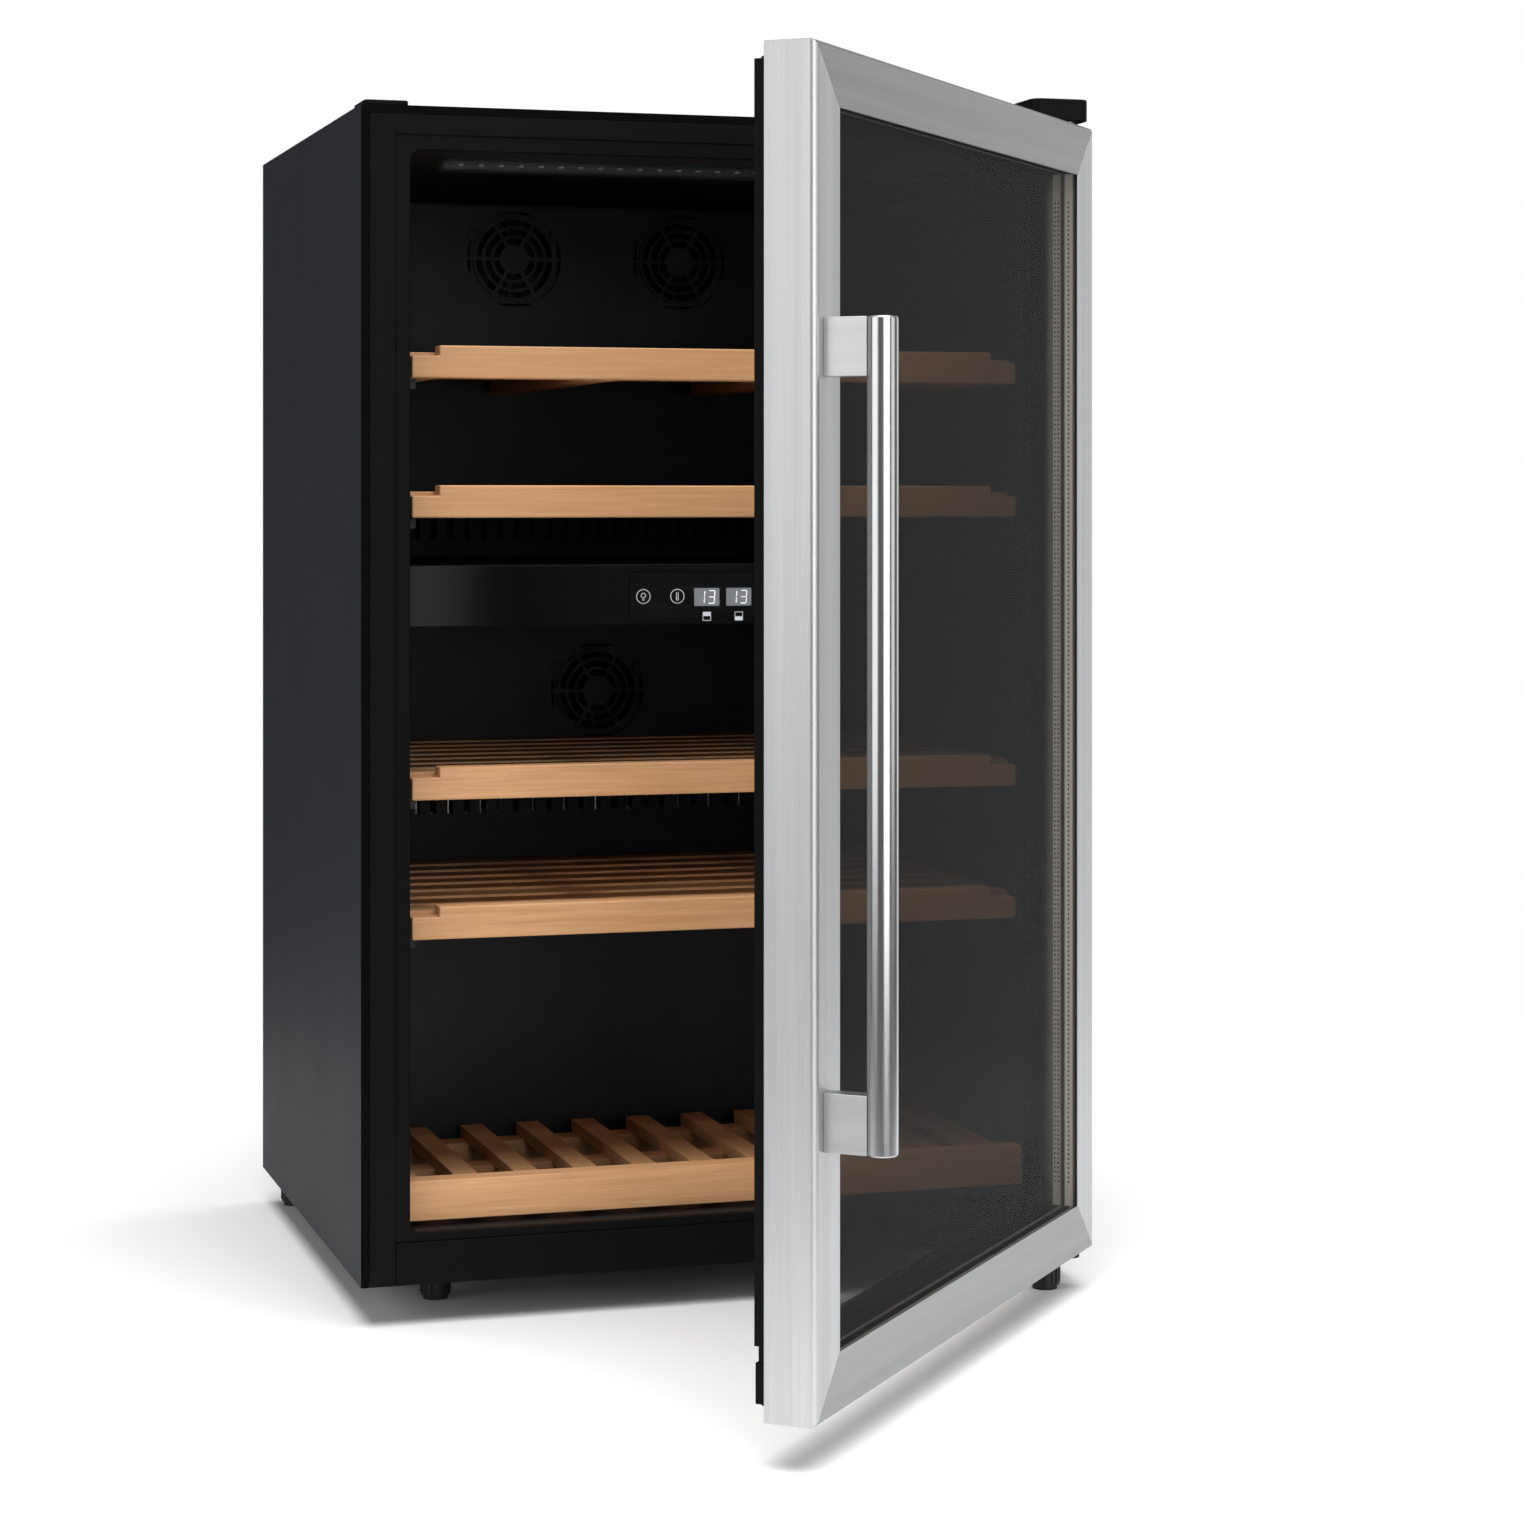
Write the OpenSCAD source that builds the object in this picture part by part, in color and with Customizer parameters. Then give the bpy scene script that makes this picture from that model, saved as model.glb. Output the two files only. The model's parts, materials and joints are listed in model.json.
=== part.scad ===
// Free-standing dual-zone wine cooler: cabinet, triple-glazed door, sliding beech shelves, cooling circuit.
// +Z is up and the door faces -Y. The origin is on the floor, under the middle of the cabinet body.
// Heights inside the part are measured from the cabinet's underside, and depths from its front face.

/* [Cabinet] */
// Outer width of the cabinet
cab_w = 545; // [500:1:620]
// Outer depth of the cabinet body
cab_d = 461; // [440:1:560]
// Height of the cabinet body, without the feet
cab_h = 836; // [830:1:1000]
// Height of the cabinet's underside above the floor
floor_gap = 28.5; // [24:0.5:40]
// Thickness of the painted steel skins
skin_t = 0.8; // [0.6:0.1:1.5]
// Width of the folded edge of a skin
skin_return = 6; // [4:0.5:10]
// Thickness of the moulded front frame
front_t = 8; // [5:0.5:12]
// Width of the front frame beside the opening
front_side_w = 35.5; // [30:0.5:50]
// Height of the front frame above the opening
front_top_h = 31; // [25:0.5:50]
// Height of the kick panel
kick_h = 30.5; // [25:0.5:45]
// Height of the liner's floor above the cabinet's underside
liner_floor_z = 36.5; // [34:0.5:60]
// Corner radius of the opening
opening_r = 9; // [4:0.5:15]
// Thickness of the plastic liner
liner_t = 1.5; // [1:0.1:3]
// Thickness of the foam behind the liner's back wall
back_foam = 30; // [20:1:50]

/* [Zones] */
// Height of the divider's underside
divider_z = 466; // [460:1:480]
// Height of the divider
divider_h = 43.5; // [40:0.5:50]
// Thickness of the control panel
panel_t = 5; // [3:0.5:8]
// Setback of the control panel from the front face
panel_y = 10; // [9:0.5:16]
// Thickness of the divider's shell
divider_t = 2; // [1.5:0.5:4]
// Distance between the duct covers and the liner's back wall
duct_depth = 27; // [24:1:40]
// Thickness of a duct cover
cover_t = 2; // [1.5:0.5:3]

/* [Shelves] */
// Height of the underside of each shelf's front board, from the lowest
shelf_z = [241, 341, 543.5, 644];
// Height of a shelf's front board
fascia_h = 23.5; // [18:0.5:30]
// Depth of a shelf's front board
fascia_t = 18; // [12:0.5:24]
// Setback of the front boards from the front face
fascia_y = 25; // [22:1:35]
// Height of the tongue at each end of a front board
tongue_h = 16; // [12:0.5:20]
// Length of the tongue at each end
tongue_l = 20; // [12:0.5:28]
// Gap between a shelf and the liner's side wall
shelf_gap = 6; // [4:0.5:10]
// Depth of a shelf from its front to its back
shelf_depth = 355; // [300:1:360]
// Width of a shelf's slat
slat_w = 26; // [16:1:36]
// Thickness of a shelf's slat
slat_t = 8; // [5:0.5:12]
// Width of a shelf's side rail
rail_w = 22; // [14:1:30]
// Height of a shelf's side rail
rail_h = 12; // [8:0.5:14]
// Width of the liner's shelf ledges
ledge_w = 12; // [8:1:16]
// Height of the liner's shelf ledges
ledge_h = 7; // [4:0.5:10]
// Height of the bottom rack's front board
rack_h = 28.5; // [20:0.5:40]
// Depth of the bottom rack
rack_depth = 250; // [180:1:255]

/* [Door] */
// Angle at which the door stands open
door_angle = 50; // [0:1:115]
// How far the door's top lies below the cabinet's top
door_top_gap = 2.7; // [2:0.1:6]
// Thickness of the steel frame
door_t = 34.5; // [28:0.5:45]
// Distance from the cabinet's front face to the back of the steel frame
door_gap = 10; // [9:0.5:14]
// Visible width of the steel frame
frame_w = 38; // [30:0.5:60]
// Corner radius of the steel frame's front edges
frame_r = 4.5; // [2:0.5:6]
// Inset of the hinge pivot from the door's side
pivot_inset = 22; // [15:0.5:22]
// Distance from the back of the steel frame to the hinge pivot
pivot_depth = 22; // [20:0.5:26]
// Thickness of a glass pane
pane_t = 3.2; // [3:0.1:5]
// Width of the gap between two panes
pane_gap = 6; // [5:0.5:9]
// Width of the spacer bars between the panes
spacer_w = 8; // [6:0.5:12]
// Thickness of the door's inner frame
inner_t = 6; // [4:0.5:8]
// Inset of the inner frame from the door's side
inner_inset = 8; // [8:0.5:12]
// Width of the door gasket
gasket_w = 10; // [8:0.5:14]
// Inset of the gasket from the door's side
gasket_inset = 18; // [17:0.5:22]
// Gap between the gasket and the cabinet when the door is closed
gasket_gap = 0.6; // [0.5:0.1:2]

/* [Handle] */
// Diameter of the handle bar
bar_d = 19; // [14:0.5:24]
// Length of the handle bar
bar_l = 503; // [300:1:700]
// Height of the handle bar's lower end
bar_z = 163.5; // [100:0.5:300]
// Distance from the door's face to the bar's axis
bar_out = 36; // [28:0.5:50]
// Distance from the door's free side to the bar's axis
bar_in = 16.5; // [12:0.5:40]
// Height of a handle bracket
bracket_h = 36; // [20:0.5:50]
// Thickness of a handle bracket
bracket_t = 12; // [8:0.5:16]

/* [Fans] */
// Wall of a fan's square frame where it is thinnest
fan_wall = 3; // [2:0.5:6]
// Bore of an evaporator fan
fan_bore = 68; // [56:1:74]
// Depth of an evaporator fan
fan_t = 15; // [10:1:20]
// Distance of the two upper fans from the middle
fan_x = 71.5; // [60:0.5:100]
// Height of the upper fans' axis
fan_top_z = 757.5; // [750:0.5:760]
// Height of the lower fan's axis
fan_low_z = 396.5; // [390:0.5:420]
// Number of blades on a fan
blades = 7; // [5:1:11]

/* [Machine bay] */
// Depth of the machine bay at the lower back
bay_d = 143; // [130:1:170]
// Height of the machine bay
bay_h = 195; // [180:1:200]
// Diameter of the compressor
comp_d = 112; // [90:1:120]
// Height of the compressor's shell
comp_h = 130; // [110:1:145]
// Diameter of the condenser fan's bore
cond_bore = 96; // [80:1:110]
// Number of fins on the condenser
cond_fins = 18; // [8:1:24]

/* [Feet] */
// Diameter of a levelling foot
foot_d = 23; // [18:0.5:30]
// Height of a foot's ribbed pad
foot_h = 20; // [14:0.5:22]
// Thread diameter of a foot's stud
stud_d = 8; // [6:0.5:10]

/* [Hidden] */

$fn = 48;
eps = 1;            // how far a cut runs past a face
fit = 0.2;          // gap between two pieces fixed together
run = 0.05;         // radial gap of a shaft in its hole
air = 0.5;          // gap between two pieces that move past each other

half_w = cab_w / 2;
open_x = half_w - front_side_w;
open_top = cab_h - front_top_h;
liner_back = cab_d - skin_t - back_foam;
cover_y = liner_back - liner_t - duct_depth;
bay_front = cab_d - bay_d;
bay_foam = 30;
base_t = 1;
step_y = bay_front - bay_foam;
step_z = bay_h + bay_foam;
shelf_x = open_x - shelf_gap;

door_low = -0.2;    // underside of the door
door_h = cab_h - door_top_gap - door_low;
fan_s = fan_bore + 2 * fan_wall;
door_back = -door_gap;
door_front = door_back - door_t;
pivot = [half_w - pivot_inset, door_back - pivot_depth];
glass_x = half_w - frame_w;
pane_lip = 9;       // how far the panes run behind the steel frame
steel_t = 1.2;      // wall of the steel frame's channel
pane_front = door_front + steel_t + fit;
inner_y = door_back + fit;
pin_d = 8;
pin_l = 14;
bracket_plate = 3;

// Places a piece of the cabinet: children count depth from the front face and height from the underside
module in_cabinet() {
  translate([0, -cab_d / 2, floor_gap]) children();
}

// Places a piece of the door: children are drawn as if the door were closed
module on_door() {
  in_cabinet() translate([pivot[0], pivot[1], 0]) rotate([0, 0, door_angle])
    translate([-pivot[0], -pivot[1], 0]) children();
}

// Box from its lowest to its highest corner
module span_box(low, high) {
  translate(low) cube(high - low);
}

// Rectangle with round corners, standing upright and pushed back from depth y by t
module upright_plate(half, z_low, z_high, r, y, t) {
  translate([0, y + t, 0]) rotate([90, 0, 0]) linear_extrude(t) {
    translate([-half + r, z_low]) square([2 * (half - r), z_high - z_low]);
    translate([-half, z_low + r]) square([2 * half, z_high - z_low - 2 * r]);
    for (x = [-half + r, half - r], z = [z_low + r, z_high - r]) translate([x, z]) circle(r);
  }
}

// Hole or rod along Y
module rod_y(d, x, z, y_low, y_high) {
  translate([x, y_high, z]) rotate([90, 0, 0]) cylinder(d = d, h = y_high - y_low);
}

// Rod along X
module rod_x(d, y, z, x_low, x_high) {
  translate([x_low, y, z]) rotate([0, 90, 0]) cylinder(d = d, h = x_high - x_low);
}

// ---- Cabinet skins ----

// One folded side skin: outer web with a front and a back return
module side_panel(side) {
  mirror([side < 0 ? 1 : 0, 0, 0]) {
    span_box([half_w - skin_t, 0, 0], [half_w, cab_d, cab_h]);
    span_box([half_w - skin_return, 0, 0], [half_w, skin_t, cab_h]);
    span_box([half_w - skin_return, cab_d - skin_t, 0], [half_w, cab_d, cab_h]);
  }
}

module side_panel_left() { color("#1b1d20") in_cabinet() side_panel(-1); }
module side_panel_right() { color("#1b1d20") in_cabinet() side_panel(1); }

module top_panel() {
  inside = half_w - skin_return - fit;
  color("#1b1d20") in_cabinet() difference() {
    union() {
      span_box([-half_w + skin_t + fit, skin_t + fit, cab_h - skin_t],
        [half_w - skin_t - fit, cab_d - skin_t - fit, cab_h]);
      span_box([-inside, 0, cab_h - skin_return], [inside, skin_t, cab_h]);
      span_box([-inside, 0, cab_h - skin_t], [inside, skin_return, cab_h]);
    }
    hinge_screw_holes(cab_h - skin_t - eps, skin_t + 2 * eps);
  }
}

module back_panel() {
  inside = half_w - skin_return - fit;
  color("#2a2c2e") in_cabinet()
    span_box([-inside, cab_d - skin_t, bay_h + fit], [inside, cab_d, cab_h - skin_t - fit]);
}

// Clearance holes for the screws of a hinge bracket
module hinge_screw_holes(z, h) {
  for (x = hinge_screw_x) translate([x, hinge_screw_y, z]) cylinder(d = 6, h = h);
}

// Axes of the feet: x and depth from the front face. The second stands under the lower hinge bracket,
// the others under the cabinet's base
feet = [[-half_w + 69.5, 80], [half_w - 36, -20], [-half_w + 24, cab_d - 18], [half_w - 24, cab_d - 18]];

module base_plate() {
  inside = half_w - skin_t - fit;
  color("#3a3c3e") in_cabinet() difference() {
    span_box([-inside, front_t + fit, 0], [inside, cab_d - skin_t - fit, base_t]);
    for (i = [0, 2, 3]) translate([feet[i][0], feet[i][1], -eps])
      cylinder(d = stud_d + 2 * air, h = base_t + 2 * eps);
    hinge_screw_holes(-eps, base_t + 2 * eps);
  }
}

step_w = 10.5;      // width of the shallow step round the opening
kick_x = open_x + step_w;

module kick_panel() {
  wall = 3;
  color("#101113") in_cabinet() difference() {
    span_box([-kick_x + fit, 0, 0], [kick_x - fit, front_t, kick_h - fit]);
    // hollow back of the moulding
    span_box([-kick_x + wall, wall, -eps], [kick_x - wall, front_t + eps, kick_h - fit - wall]);
  }
}

module front_frame() {
  frame_x = half_w - skin_return - fit;
  frame_top = cab_h - skin_return - fit;
  step = 1;
  color("#111214") in_cabinet() difference() {
    span_box([-frame_x, 0, 0], [frame_x, front_t, frame_top]);
    // opening into the compartments
    upright_plate(open_x, liner_floor_z, open_top, opening_r, -eps, front_t + 2 * eps);
    // shallow step round the opening
    span_box([-kick_x, -eps, kick_h], [kick_x, step, open_top + step_w]);
    // room for the kick panel
    span_box([-kick_x, -eps, -eps], [kick_x, front_t + eps, kick_h]);
  }
}

// ---- Liner, foam and divider ----

// Space inside the liner, grown outwards by g
module cavity(g) {
  difference() {
    span_box([-open_x - g, front_t + fit, liner_floor_z - g],
      [open_x + g, liner_back - liner_t + g, open_top + g]);
    span_box([-open_x - g - eps, step_y - liner_t + g, liner_floor_z - g - eps],
      [open_x + g + eps, cab_d, step_z + liner_t - g]);
  }
}

drain_y = liner_back - 12;
drain_d = 10;

module liner() {
  color("#0d0e10") in_cabinet() {
    difference() {
      cavity(liner_t);
      translate([0, -eps, 0]) difference() {
        span_box([-open_x, front_t + fit, liner_floor_z], [open_x, liner_back - liner_t + eps, open_top]);
        span_box([-open_x - eps, step_y - liner_t + eps, liner_floor_z - eps],
          [open_x + eps, cab_d, step_z + liner_t]);
      }
      // drain hole
      translate([0, drain_y, step_z - eps]) cylinder(d = drain_d, h = liner_t + 2 * eps);
    }
    for (z = shelf_z, side = [0, 1]) mirror([side, 0, 0])
      span_box([open_x - ledge_w, fascia_y + fascia_t, z - ledge_h - air],
        [open_x + liner_t / 2, cover_y - air, z - air]);
  }
}

module insulation_foam() {
  inside = half_w - skin_t - fit;
  screw_room = 14;
  color("#d8cf9f") in_cabinet() difference() {
    span_box([-inside, front_t + fit, base_t + fit],
      [inside, cab_d - skin_t - fit, cab_h - skin_return - fit]);
    cavity(liner_t + fit);
    // cut open at the front
    span_box([-open_x - liner_t - fit, 0, liner_floor_z - liner_t - fit],
      [open_x + liner_t + fit, front_t + 2 * fit + eps, open_top + liner_t + fit]);
    // machine bay
    span_box([-half_w, bay_front - fit, -eps], [half_w, cab_d + eps, bay_h + fit]);
    // the front foot's stud
    translate([feet[0][0], feet[0][1], -eps]) cylinder(d = stud_d + 2 * air, h = foot_h + 2 * eps);
    // drain
    translate([0, drain_y, bay_h - eps]) cylinder(d = drain_d + 2, h = step_z - bay_h + 2 * eps);
    // hinge screws
    for (z = [0, cab_h - screw_room]) hinge_screw_holes(z, screw_room);
  }
}

module divider() {
  x = open_x - fit;
  pocket = 40;
  y0 = panel_y + panel_t + fit;
  color("#101113") in_cabinet() difference() {
    span_box([-x, y0, divider_z], [x, cover_y - fit, divider_z + divider_h]);
    // pocket for the circuit board, open at the front
    span_box([-x + divider_t, y0 - eps, divider_z + divider_t],
      [x - divider_t, y0 + pocket, divider_z + divider_h - divider_t]);
  }
}

window_l = 104;
window_h = 32;
window_c = [-22, divider_z + divider_h / 2];

module control_panel() {
  x = open_x - fit;
  color("#0a0b0c") in_cabinet() difference() {
    span_box([-x, panel_y, divider_z], [x, panel_y + panel_t, divider_z + divider_h]);
    translate([window_c[0], panel_y - eps, window_c[1]])
      span_box([-window_l / 2, 0, -window_h / 2], [window_l / 2, panel_t + 2 * eps, window_h / 2]);
  }
}

module touch_window() {
  color("#151617") in_cabinet() translate([window_c[0], panel_y, window_c[1]])
    span_box([-window_l / 2 + fit, 0, -window_h / 2 + fit], [window_l / 2 - fit, 2, window_h / 2 - fit]);
}

module control_board() {
  y = panel_y + panel_t + 2;
  color("#1f5a35") in_cabinet() translate([window_c[0], y, window_c[1]]) {
    span_box([-62, 0, -17], [62, 1.6, 17]);
    // display digits' housings
    for (x = [-4, 20]) span_box([x, -4, -8], [x + 19, 0, 6]);
    // processor and connector on the back
    span_box([-30, 1.6, -7], [-16, 3.4, 7]);
    span_box([10, 1.6, -5], [34, 10, 5]);
  }
}

lens_x = open_x - 34;
lens_y = 52;
lens_d = 22;
lens_h = 8.5;

module light_lens() {
  wall = 1.5;
  color([0.8, 0.85, 0.85, 0.5]) in_cabinet() difference() {
    span_box([-lens_x, lens_y, open_top - lens_h], [lens_x, lens_y + lens_d, open_top - fit]);
    span_box([-lens_x + wall, lens_y + wall, open_top - lens_h + wall],
      [lens_x - wall, lens_y + lens_d - wall, open_top + eps]);
  }
}

// ---- Air ducts and fans ----

// Round grille of rings and spokes for a fan, cut out of a cover
module grille_cut(x, z) {
  rings = 4;
  ring_gap = 5;
  bar = 2.5;
  rod_len = cover_t + 2 * eps;
  difference() {
    for (i = [1 : rings]) difference() {
      rod_y(2 * (10 + i * (ring_gap + bar)), x, z, cover_y - eps, cover_y - eps + rod_len);
      rod_y(2 * (10 + i * (ring_gap + bar) - ring_gap), x, z, cover_y - 2 * eps, cover_y + rod_len);
    }
    for (a = [0 : 60 : 120]) translate([x, 0, z]) rotate([0, a, 0])
      span_box([-50, cover_y - 2 * eps, -1.5], [50, cover_y + rod_len, 1.5]);
  }
}

// A duct cover plate with its row of upright vent slots
module duct_cover(z_low, z_high, slot_z) {
  x = open_x - fit;
  slot_h = 16;
  slot_w = 5;
  pitch = 14;
  difference() {
    span_box([-x, cover_y, z_low], [x, cover_y + cover_t, z_high]);
    for (i = [-13 : 13]) span_box([i * pitch - slot_w / 2, cover_y - eps, slot_z],
      [i * pitch + slot_w / 2, cover_y + cover_t + eps, slot_z + slot_h]);
  }
}

module duct_cover_upper() {
  color("#141517") in_cabinet() difference() {
    duct_cover(divider_z + divider_h + fit, open_top - 4, divider_z + divider_h + 15);
    for (x = [-fan_x, fan_x]) grille_cut(x, fan_top_z);
  }
}

module duct_cover_lower() {
  color("#141517") in_cabinet() difference() {
    duct_cover(step_z + liner_t + fit, divider_z - fit, step_z + 71);
    grille_cut(0, fan_low_z);
  }
}

fans = [[-fan_x, fan_top_z], [fan_x, fan_top_z], [0, fan_low_z]];
fan_y = cover_y + cover_t + fit;

module fan_frames() {
  hub = 24;
  color("#1a1a1a") in_cabinet() for (f = fans) translate([f[0], 0, f[1]]) {
    difference() {
      span_box([-fan_s / 2, fan_y, -fan_s / 2], [fan_s / 2, fan_y + fan_t, fan_s / 2]);
      rod_y(fan_bore, 0, 0, fan_y - eps, fan_y + fan_t - 2);
      rod_y(fan_bore, 0, 0, fan_y + 1, fan_y + fan_t + eps);
    }
    // motor plate on four struts, with the rotor's shaft
    intersection() {
      rod_y(fan_bore + 2, 0, 0, fan_y + fan_t - 2, fan_y + fan_t);
      for (a = [0, 90]) rotate([0, a, 0])
        span_box([-fan_s / 2, fan_y + fan_t - 2, -2], [fan_s / 2, fan_y + fan_t, 2]);
    }
    rod_y(hub, 0, 0, fan_y + fan_t - 2, fan_y + fan_t);
    rod_y(4, 0, 0, fan_y + 4, fan_y + fan_t - 1);
  }
}

// Rotor along Y: hub cup with flat blades set at an angle
module rotor(bore, hub, depth, shaft) {
  difference() {
    union() {
      rod_y(hub, 0, 0, 0, depth);
      intersection() {
        rod_y(bore - 4 * air, 0, 0, 0, depth);
        for (i = [0 : blades - 1]) rotate([0, i * 360 / blades, 0])
          translate([0, depth / 2, hub / 2 - 2]) rotate([0, 0, 38])
            span_box([-depth * 0.75, -0.8, 0], [depth * 0.75, 0.8, bore / 2]);
      }
    }
    rod_y(shaft + 2 * run, 0, 0, 2, depth + eps);
  }
}

module evaporator_rotor(i) {
  color("#2b2b2b") in_cabinet() translate([fans[i][0], fan_y + 1.5, fans[i][1]])
    rotor(fan_bore, 24, fan_t - 5, 4);
}

module fan_rotor_left() { evaporator_rotor(0); }
module fan_rotor_right() { evaporator_rotor(1); }
module fan_rotor_lower() { evaporator_rotor(2); }

module evaporators() {
  fin_t = 1;
  pitch = 9;
  depth = 18;
  y = cover_y + cover_t + 5;
  tube_d = 7;
  tube_end = 8;
  // each row: underside, height, and fins on each side of the middle
  color("#b9bdc0") in_cabinet() for (e = [[divider_z + divider_h + 60, 120, 20], [step_z + 25, 80, 18]]) {
    for (i = [-e[2] : e[2]])
      span_box([i * pitch - fin_t / 2, y, e[0]], [i * pitch + fin_t / 2, y + depth, e[0] + e[1]]);
    for (z = [e[0] + 15 : 30 : e[0] + e[1]])
      rod_x(tube_d, y + depth / 2, z, -e[2] * pitch - tube_end, e[2] * pitch + tube_end);
  }
}

// ---- Machine bay ----

comp = [-half_w + 122.5, bay_front + bay_d / 2 + 2];
comp_z = base_t + 10;

comp_mount_x = 70;
comp_mount_y = 20;
comp_mount_d = 12;

module compressor() {
  shell_r = comp_d / 2;
  shell_low = 12;
  dome_h = 30;
  rail_t = 2.5;
  color("#17181a") in_cabinet() translate([comp[0], comp[1], comp_z]) {
    rotate_extrude() {
      square([shell_r - 14, shell_low + eps]);
      translate([0, shell_low]) square([shell_r, comp_h - dome_h - shell_low]);
      translate([0, comp_h - dome_h]) intersection() {
        circle(r = shell_r);
        square([shell_r, dome_h]);
      }
    }
    // base rail under the shell
    difference() {
      span_box([-comp_mount_x - 10, -comp_mount_y - 10, 0], [comp_mount_x + 10, comp_mount_y + 10, rail_t]);
      for (x = [-comp_mount_x, comp_mount_x], y = [-comp_mount_y, comp_mount_y])
        translate([x, y, -eps]) cylinder(d = comp_mount_d, h = rail_t + 2 * eps);
    }
    // terminal cover
    span_box([shell_r - 3, -22, 40], [shell_r + 16, 22, 86]);
  }
}

module compressor_grommets() {
  color("#222222") in_cabinet() translate([comp[0], comp[1], base_t])
    for (x = [-comp_mount_x, comp_mount_x], y = [-comp_mount_y, comp_mount_y]) translate([x, y, 0]) {
      cylinder(d = comp_mount_d + 8, h = comp_z - base_t - fit);
      cylinder(d = comp_mount_d - 1, h = comp_z - base_t + 6);
    }
}

cond_w = 150;
cond_x = half_w - cond_w - 30.5;
cond_z = 24;
cond_h = 130;

module condenser() {
  depth = 100;
  y = bay_front + 20;
  pitch = cond_w / (cond_fins - 1);
  color("#8d9092") in_cabinet() {
    for (i = [0 : cond_fins - 1])
      span_box([cond_x + i * pitch, y, cond_z], [cond_x + i * pitch + 1, y + depth, cond_z + cond_h]);
    for (r = [15 : 33 : cond_h], c = [20 : 30 : depth])
      rod_x(8, y + c, cond_z + r, cond_x - 3, cond_x + cond_w + 3);
  }
}

cond_fan_x = cond_x - 30;
cond_fan_y = bay_front + 70;
cond_fan_z = cond_z + cond_h / 2;

module condenser_fan_frame() {
  t = 20;
  size = cond_bore + 10;
  color("#1a1a1a") in_cabinet() translate([cond_fan_x, cond_fan_y, cond_fan_z]) {
    difference() {
      span_box([0, -size / 2, -cond_fan_z + base_t], [t, size / 2, size / 2]);
      rod_x(cond_bore, 0, 0, 2, t + eps);
      rod_x(cond_bore, 0, 0, -eps, t - 1);
    }
    intersection() {
      rod_x(cond_bore + 2, 0, 0, 0, 2);
      for (a = [0, 90]) rotate([a, 0, 0]) span_box([0, -size / 2, -3], [2, size / 2, 3]);
    }
    rod_x(34, 0, 0, 0, 2);
    rod_x(6, 0, 0, 1, t - 5.5);
  }
}

module condenser_fan_rotor() {
  color("#3a3a3a") in_cabinet() translate([cond_fan_x + 17.5, cond_fan_y, cond_fan_z]) rotate([0, 0, 90])
    rotor(cond_bore, 34, 14, 6);
}

module filter_drier() {
  r = 11;
  color("#b87333") in_cabinet() translate([0, bay_front + 30, 60]) rotate_extrude() {
    square([r, 70]);
    translate([0, -12]) square([4, 94]);
  }
}

pan = [[comp[0] + 86, cond_fan_x - 26], [bay_front + 14, bay_front + 120]];

module drain_pan() {
  wall = 2;
  z = base_t + fit;
  color("#5c6064") in_cabinet() difference() {
    span_box([pan[0][0], pan[1][0], z], [pan[0][1], pan[1][1], z + 26]);
    span_box([pan[0][0] + wall, pan[1][0] + wall, z + wall],
      [pan[0][1] - wall, pan[1][1] - wall, z + 26 + eps]);
  }
}

// The drain runs straight down from the duct's gutter into the pan
module drain_tube() {
  y = liner_back - 12;
  color("#9aa0a4") in_cabinet() difference() {
    translate([0, y, 20]) cylinder(d = 10 - 2 * fit, h = step_z + liner_t - 20);
    translate([0, y, 20 - eps]) cylinder(d = 7, h = step_z + liner_t);
  }
}

// Power inlet's opening in the grille: x and height of its corners
inlet_low = [-half_w + 40, 24];
inlet_high = [-half_w + 78, 52];

module bay_grille() {
  x = half_w - skin_return - fit;
  pitch = 15;
  slot_w = 6;
  slot_h = 42;
  color("#2a2c2e") in_cabinet() difference() {
    span_box([-x, cab_d - skin_t, 0], [x, cab_d, bay_h]);
    for (i = [-14 : 14], z = [70, 125])
      translate([i * pitch, 0, z])
        span_box([-slot_w / 2, cab_d - 2 * eps, 0], [slot_w / 2, cab_d + eps, slot_h]);
    span_box([inlet_low[0] - fit, cab_d - 2 * eps, inlet_low[1] - fit],
      [inlet_high[0] + fit, cab_d + eps, inlet_high[1] + fit]);
  }
}

module power_inlet() {
  wall = 6;
  low = [inlet_low[0], cab_d - 20, inlet_low[1]];
  high = [inlet_high[0], cab_d, inlet_high[1]];
  color("#0c0c0c") in_cabinet() difference() {
    span_box(low, high);
    span_box(low + [wall, wall + 2, wall], high + [-wall, eps, -wall]);
  }
}

// ---- Hinges, caps and feet ----

hinge_screw_x = [half_w - 42, half_w - 26];
hinge_screw_y = 11.5;
hinge_screw_d = 5;
top_plate_z = cab_h + fit;
plate_back = 17.5;

// Outline of the steel plate from the cabinet out to its round nose at the pivot
module hinge_plate_outline() {
  nose = 8;
  translate([pivot[0], pivot[1]]) circle(nose);
  translate([pivot[0] - nose, pivot[1]]) square([2 * nose, plate_back - pivot[1]]);
  translate([half_w - 48, 4]) square([36, plate_back - 4]);
}

// Holes for the pin and the screws through a plate that lies at height z
module hinge_plate_holes(z) {
  h = bracket_plate + 2 * eps;
  translate([pivot[0], pivot[1], z - eps]) cylinder(d = pin_d, h = h);
  for (x = hinge_screw_x) translate([x, hinge_screw_y, z - eps]) cylinder(d = hinge_screw_d, h = h);
}

module hinge_bracket_top() {
  color("#25272a") in_cabinet() difference() {
    translate([0, 0, top_plate_z]) linear_extrude(bracket_plate) hinge_plate_outline();
    hinge_plate_holes(top_plate_z);
  }
}

bottom_plate_z = door_low - air - bracket_plate;

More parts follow.
